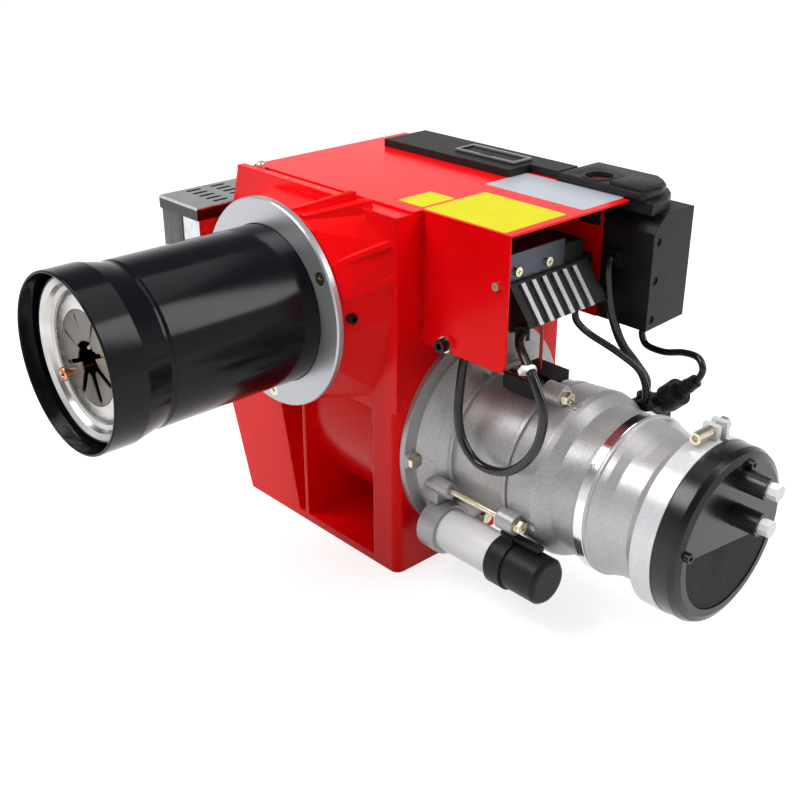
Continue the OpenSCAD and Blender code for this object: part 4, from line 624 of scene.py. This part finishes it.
petals = bmesh.new()
for k in range(PETALS):
    one = bmesh.ops.create_grid(petals, x_segments=PETAL_ROWS, y_segments=PETAL_STRIPS, size=0.5)
    for vert in one["verts"]:
        bend_to_petal(vert.co, math.tau * k / PETALS)
bmesh.ops.remove_doubles(petals, verts=petals.verts[:], dist=MERGE_REACH * MM)
bmesh.ops.recalc_face_normals(petals, faces=petals.faces[:])
bmesh.ops.solidify(petals, geom=petals.faces[:], thickness=PETAL_SHEET * MM)
head_petals = piece_of(petals, "head_petals", dark_petal_steel, "combustion_head")
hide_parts("swirl_disc")
print("petal faces:", len(head_petals.data.polygons))

# %% [markdown]
# ## Corner post of the air box
# The sheet of the air box folds round its front corner, and the fold is painted as a darker upright
# strip beside the pale panel: painted shade on the corner. The outline of the fold is drawn from
# above and pushed up as one layer.

# %% Corner post
POST_LEFT, POST_RIGHT = -162.6, -134
POST_SHEET = 0.8
POST_RETURN = 16
POST_WALL = 0.6
POST_FOOT_GAP = 1
AIR_BOX_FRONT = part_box("air_box")[0][1] / MM
AIR_BOX_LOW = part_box("air_box")[0][2] / MM
LID_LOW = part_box("air_box_lid")[0][2] / MM
# The post's dark colour is painted shade on the folded corner.
post_zinc_painted_shade = finish("folded_zinc_painted_shade", (0.12, 0.115, 0.115), 0.4, metallic=0.8)
mottle(post_zinc_painted_shade, 200, (0.09, 0.088, 0.088), (0.15, 0.145, 0.145), stretch=(1, 1, 0.1))
uneven_gloss(post_zinc_painted_shade, 160, 0.32, 0.5)
POST_FRONT = AIR_BOX_FRONT - POST_SHEET
POST_BACK = AIR_BOX_FRONT + POST_RETURN
POST_INSIDE = POST_LEFT + POST_WALL
POST_OUTLINE = [(POST_LEFT, POST_FRONT), (POST_RIGHT, POST_FRONT), (POST_RIGHT, AIR_BOX_FRONT),
                (POST_INSIDE, AIR_BOX_FRONT), (POST_INSIDE, POST_BACK), (POST_LEFT, POST_BACK)]
post = bmesh.new()
layer(post, POST_OUTLINE, low=AIR_BOX_LOW + POST_FOOT_GAP, high=LID_LOW, soft=0.1)
piece_of(post, "corner_post", post_zinc_painted_shade)
print("post height:", round(LID_LOW - AIR_BOX_LOW, 1), "mm")

# %% [markdown]
# ## Blank foils
# The top of the cover carries three foils: a silver one at the back and two yellow ones along the
# front. They stay blank. Each is a thin sheet with round corners and a fine raised border, so four
# rings are drawn along that border, bridged, and closed above and below.

# %% Foils on the cover
FOIL_CORNER = 2.0
CORNER_STEPS = 6
BORDER_PROFILE = [(0, 0), (0.05, 0.16), (0.9, 0.18), (1.0, 0.13)]


def foil_ring(mesh, corner_low, corner_high, inset, z):
    """Adds a flat ring with round corners, and gives its edges."""
    reach = FOIL_CORNER - inset
    left, front = (c + FOIL_CORNER for c in corner_low)
    right, back = (c - FOIL_CORNER for c in corner_high)
    verts = []
    for cx, cy, start in ((right, back, 0), (left, back, 90), (left, front, 180), (right, front, 270)):
        for k in range(CORNER_STEPS + 1):
            turn = math.radians(start + k * 90 / CORNER_STEPS)
            place = (cx + reach * math.cos(turn), cy + reach * math.sin(turn), z)
            verts.append(mesh.verts.new([c * MM for c in place]))
    return [mesh.edges.new(pair) for pair in zip(verts, verts[1:] + verts[:1])]


def foil(name, corner_low, corner_high, material):
    """A thin sheet with round corners and a narrow raised border, lying flat on the cover."""
    mesh = bmesh.new()
    rings = [foil_ring(mesh, corner_low, corner_high, inset, COVER_TOP + rise)
             for inset, rise in BORDER_PROFILE]
    for low, high in zip(rings, rings[1:]):
        bmesh.ops.bridge_loops(mesh, edges=low + high)
    bmesh.ops.edgeloop_fill(mesh, edges=rings[0])
    bmesh.ops.edgeloop_fill(mesh, edges=rings[-1])
    bmesh.ops.recalc_face_normals(mesh, faces=mesh.faces[:])
    data = bpy.data.meshes.new(name)
    mesh.to_mesh(data)
    mesh.free()
    data.materials.append(material)
    piece = bpy.data.objects.new(name, data)
    bpy.context.scene.collection.objects.link(piece)
    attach(piece, "burner")
    print(name, "faces:", len(data.polygons))


yellow_film = finish("yellow_film", (0.80, 0.72, 0.004), 0.40, specular=0.1)
mottle(yellow_film, 40, (0.68, 0.62, 0.003), (0.71, 0.65, 0.004))
relief(yellow_film, 60, 0.03, 0.2)
metal_film = finish("brushed_metal_film", (0.56, 0.60, 0.66), 0.34, metallic=0.25)
uneven_gloss(metal_film, 300, 0.24, 0.38, (0.06, 1, 1))
relief(metal_film, 900, 0.02, 0.35, stretch=(0.05, 1, 1))
foil("blank_metal_foil", (84.5, 140), (177, 186), metal_film)
foil("blank_yellow_foil", (100, 62), (176, 124), yellow_film)
foil("small_yellow_foil", (72, 64), (97, 96), yellow_film)

# %% [markdown]
# ## Floor and light
# A white studio: one wide floor, a white world and three soft lamps. The floor is lit by the same
# light as the object, so it keeps its shadow. A glow that only the camera and reflections see makes
# it look white.

# %% Rays that look at the background


def seen_ray(tree):
    """1 for what the camera sees, straight, in a reflection or through a clear part."""
    path = tree.nodes.new("ShaderNodeLightPath")
    total = path.outputs["Is Camera Ray"]
    for name in ("Is Glossy Ray", "Is Transmission Ray"):
        add = tree.nodes.new("ShaderNodeMath")
        add.operation = "ADD"
        add.use_clamp = True
        tree.links.new(total, add.inputs[0])
        tree.links.new(path.outputs[name], add.inputs[1])
        total = add.outputs[0]
    return total


# %% [markdown]
# ### The floor
# The floor is one wide grid, so no edge comes into view. Its paper is a light grey that takes the
# shadow, with the glow added on top.

# %% Floor
FLOOR_Z = cad_box[0][2]
FLOOR_GLOW = 0.76
FLOOR_HALF = 14
PAPER = (0.52, 0.52, 0.52, 1)
mesh = bmesh.new()
bmesh.ops.create_grid(mesh, x_segments=1, y_segments=1, size=FLOOR_HALF)
bmesh.ops.translate(mesh, vec=(0, 0, FLOOR_Z), verts=mesh.verts)
floor_data = bpy.data.meshes.new("studio_floor")
mesh.to_mesh(floor_data)
mesh.free()
floor = bpy.data.objects.new("studio_floor", floor_data)
bpy.context.scene.collection.objects.link(floor)
paper = bpy.data.materials.new("studio_paper")
paper.use_nodes = True
tree = paper.node_tree
tree.nodes.clear()
diffuse = tree.nodes.new("ShaderNodeBsdfDiffuse")
diffuse.inputs["Color"].default_value = PAPER
glow = tree.nodes.new("ShaderNodeEmission")
both = tree.nodes.new("ShaderNodeAddShader")
share = tree.nodes.new("ShaderNodeMath")
share.operation = "MULTIPLY"
share.inputs[1].default_value = FLOOR_GLOW
out = tree.nodes.new("ShaderNodeOutputMaterial")
tree.links.new(seen_ray(tree), share.inputs[0])
tree.links.new(share.outputs[0], glow.inputs["Strength"])
tree.links.new(diffuse.outputs["BSDF"], both.inputs[0])
tree.links.new(glow.outputs["Emission"], both.inputs[1])
tree.links.new(both.outputs["Shader"], out.inputs["Surface"])
floor_data.materials.append(paper)
print("floor at", round(FLOOR_Z / MM), "mm")

# %% [markdown]
# ### The world
# The world has two faces. To the object it is a dim dome, brighter overhead. To the camera and in
# reflections it is a white backdrop that darkens upwards, so bright metal has something to show.

# %% World
DOME = {"start": -0.1, "end": 0.9, "low": 0.20, "high": 0.52}
BACKDROP = {"start": 0.12, "end": 0.55, "low": 1.0, "high": 0.14}
LEVEL_FACTOR, LEVEL_FIRST, LEVEL_SECOND = 0, 2, 3
world = bpy.data.worlds.new("studio_world")
bpy.context.scene.world = world
world.use_nodes = True
tree = world.node_tree
background = tree.nodes["Background"]
background.inputs["Color"].default_value = (1, 1, 1, 1)
direction = tree.nodes.new("ShaderNodeTexCoord")
axes = tree.nodes.new("ShaderNodeSeparateXYZ")
tree.links.new(direction.outputs["Generated"], axes.inputs["Vector"])
level = tree.nodes.new("ShaderNodeMix")
tree.links.new(seen_ray(tree), level.inputs[LEVEL_FACTOR])
tree.links.new(map_range(tree, axes.outputs["Z"], **DOME), level.inputs[LEVEL_FIRST])
tree.links.new(map_range(tree, axes.outputs["Z"], **BACKDROP), level.inputs[LEVEL_SECOND])
tree.links.new(level.outputs[0], background.inputs["Strength"])
print("world nodes:", len(tree.nodes))

# %% [markdown]
# ### The lamps
# Three wide lamps stand round the object, as in a small studio. Wide lamps give soft shadows and long
# reflections. Their power is low, because the object keeps its own colours that way.

# %% Lamps


def lamp(name, place, target, size, power):
    data = bpy.data.lights.new(name, "AREA")
    data.shape = "RECTANGLE"
    data.size, data.size_y = size
    data.energy = power
    piece = bpy.data.objects.new(name, data)
    bpy.context.scene.collection.objects.link(piece)
    piece.location = place
    piece.rotation_euler = (Vector(target) - Vector(place)).to_track_quat("-Z", "Y").to_euler()
    print(name, power, "W")


lamp("key_lamp", place=(-0.6, -0.9, 1.5), target=(0.05, 0.05, -0.05), size=(1.2, 0.8), power=24)
lamp("side_lamp", place=(1.3, 0.85, 1.15), target=(0.1, 0.05, -0.05), size=(0.5, 1.2), power=14)
lamp("top_lamp", place=(0.1, 0.4, 1.7), target=(0.05, 0.05, 0), size=(1.4, 1.0), power=6)
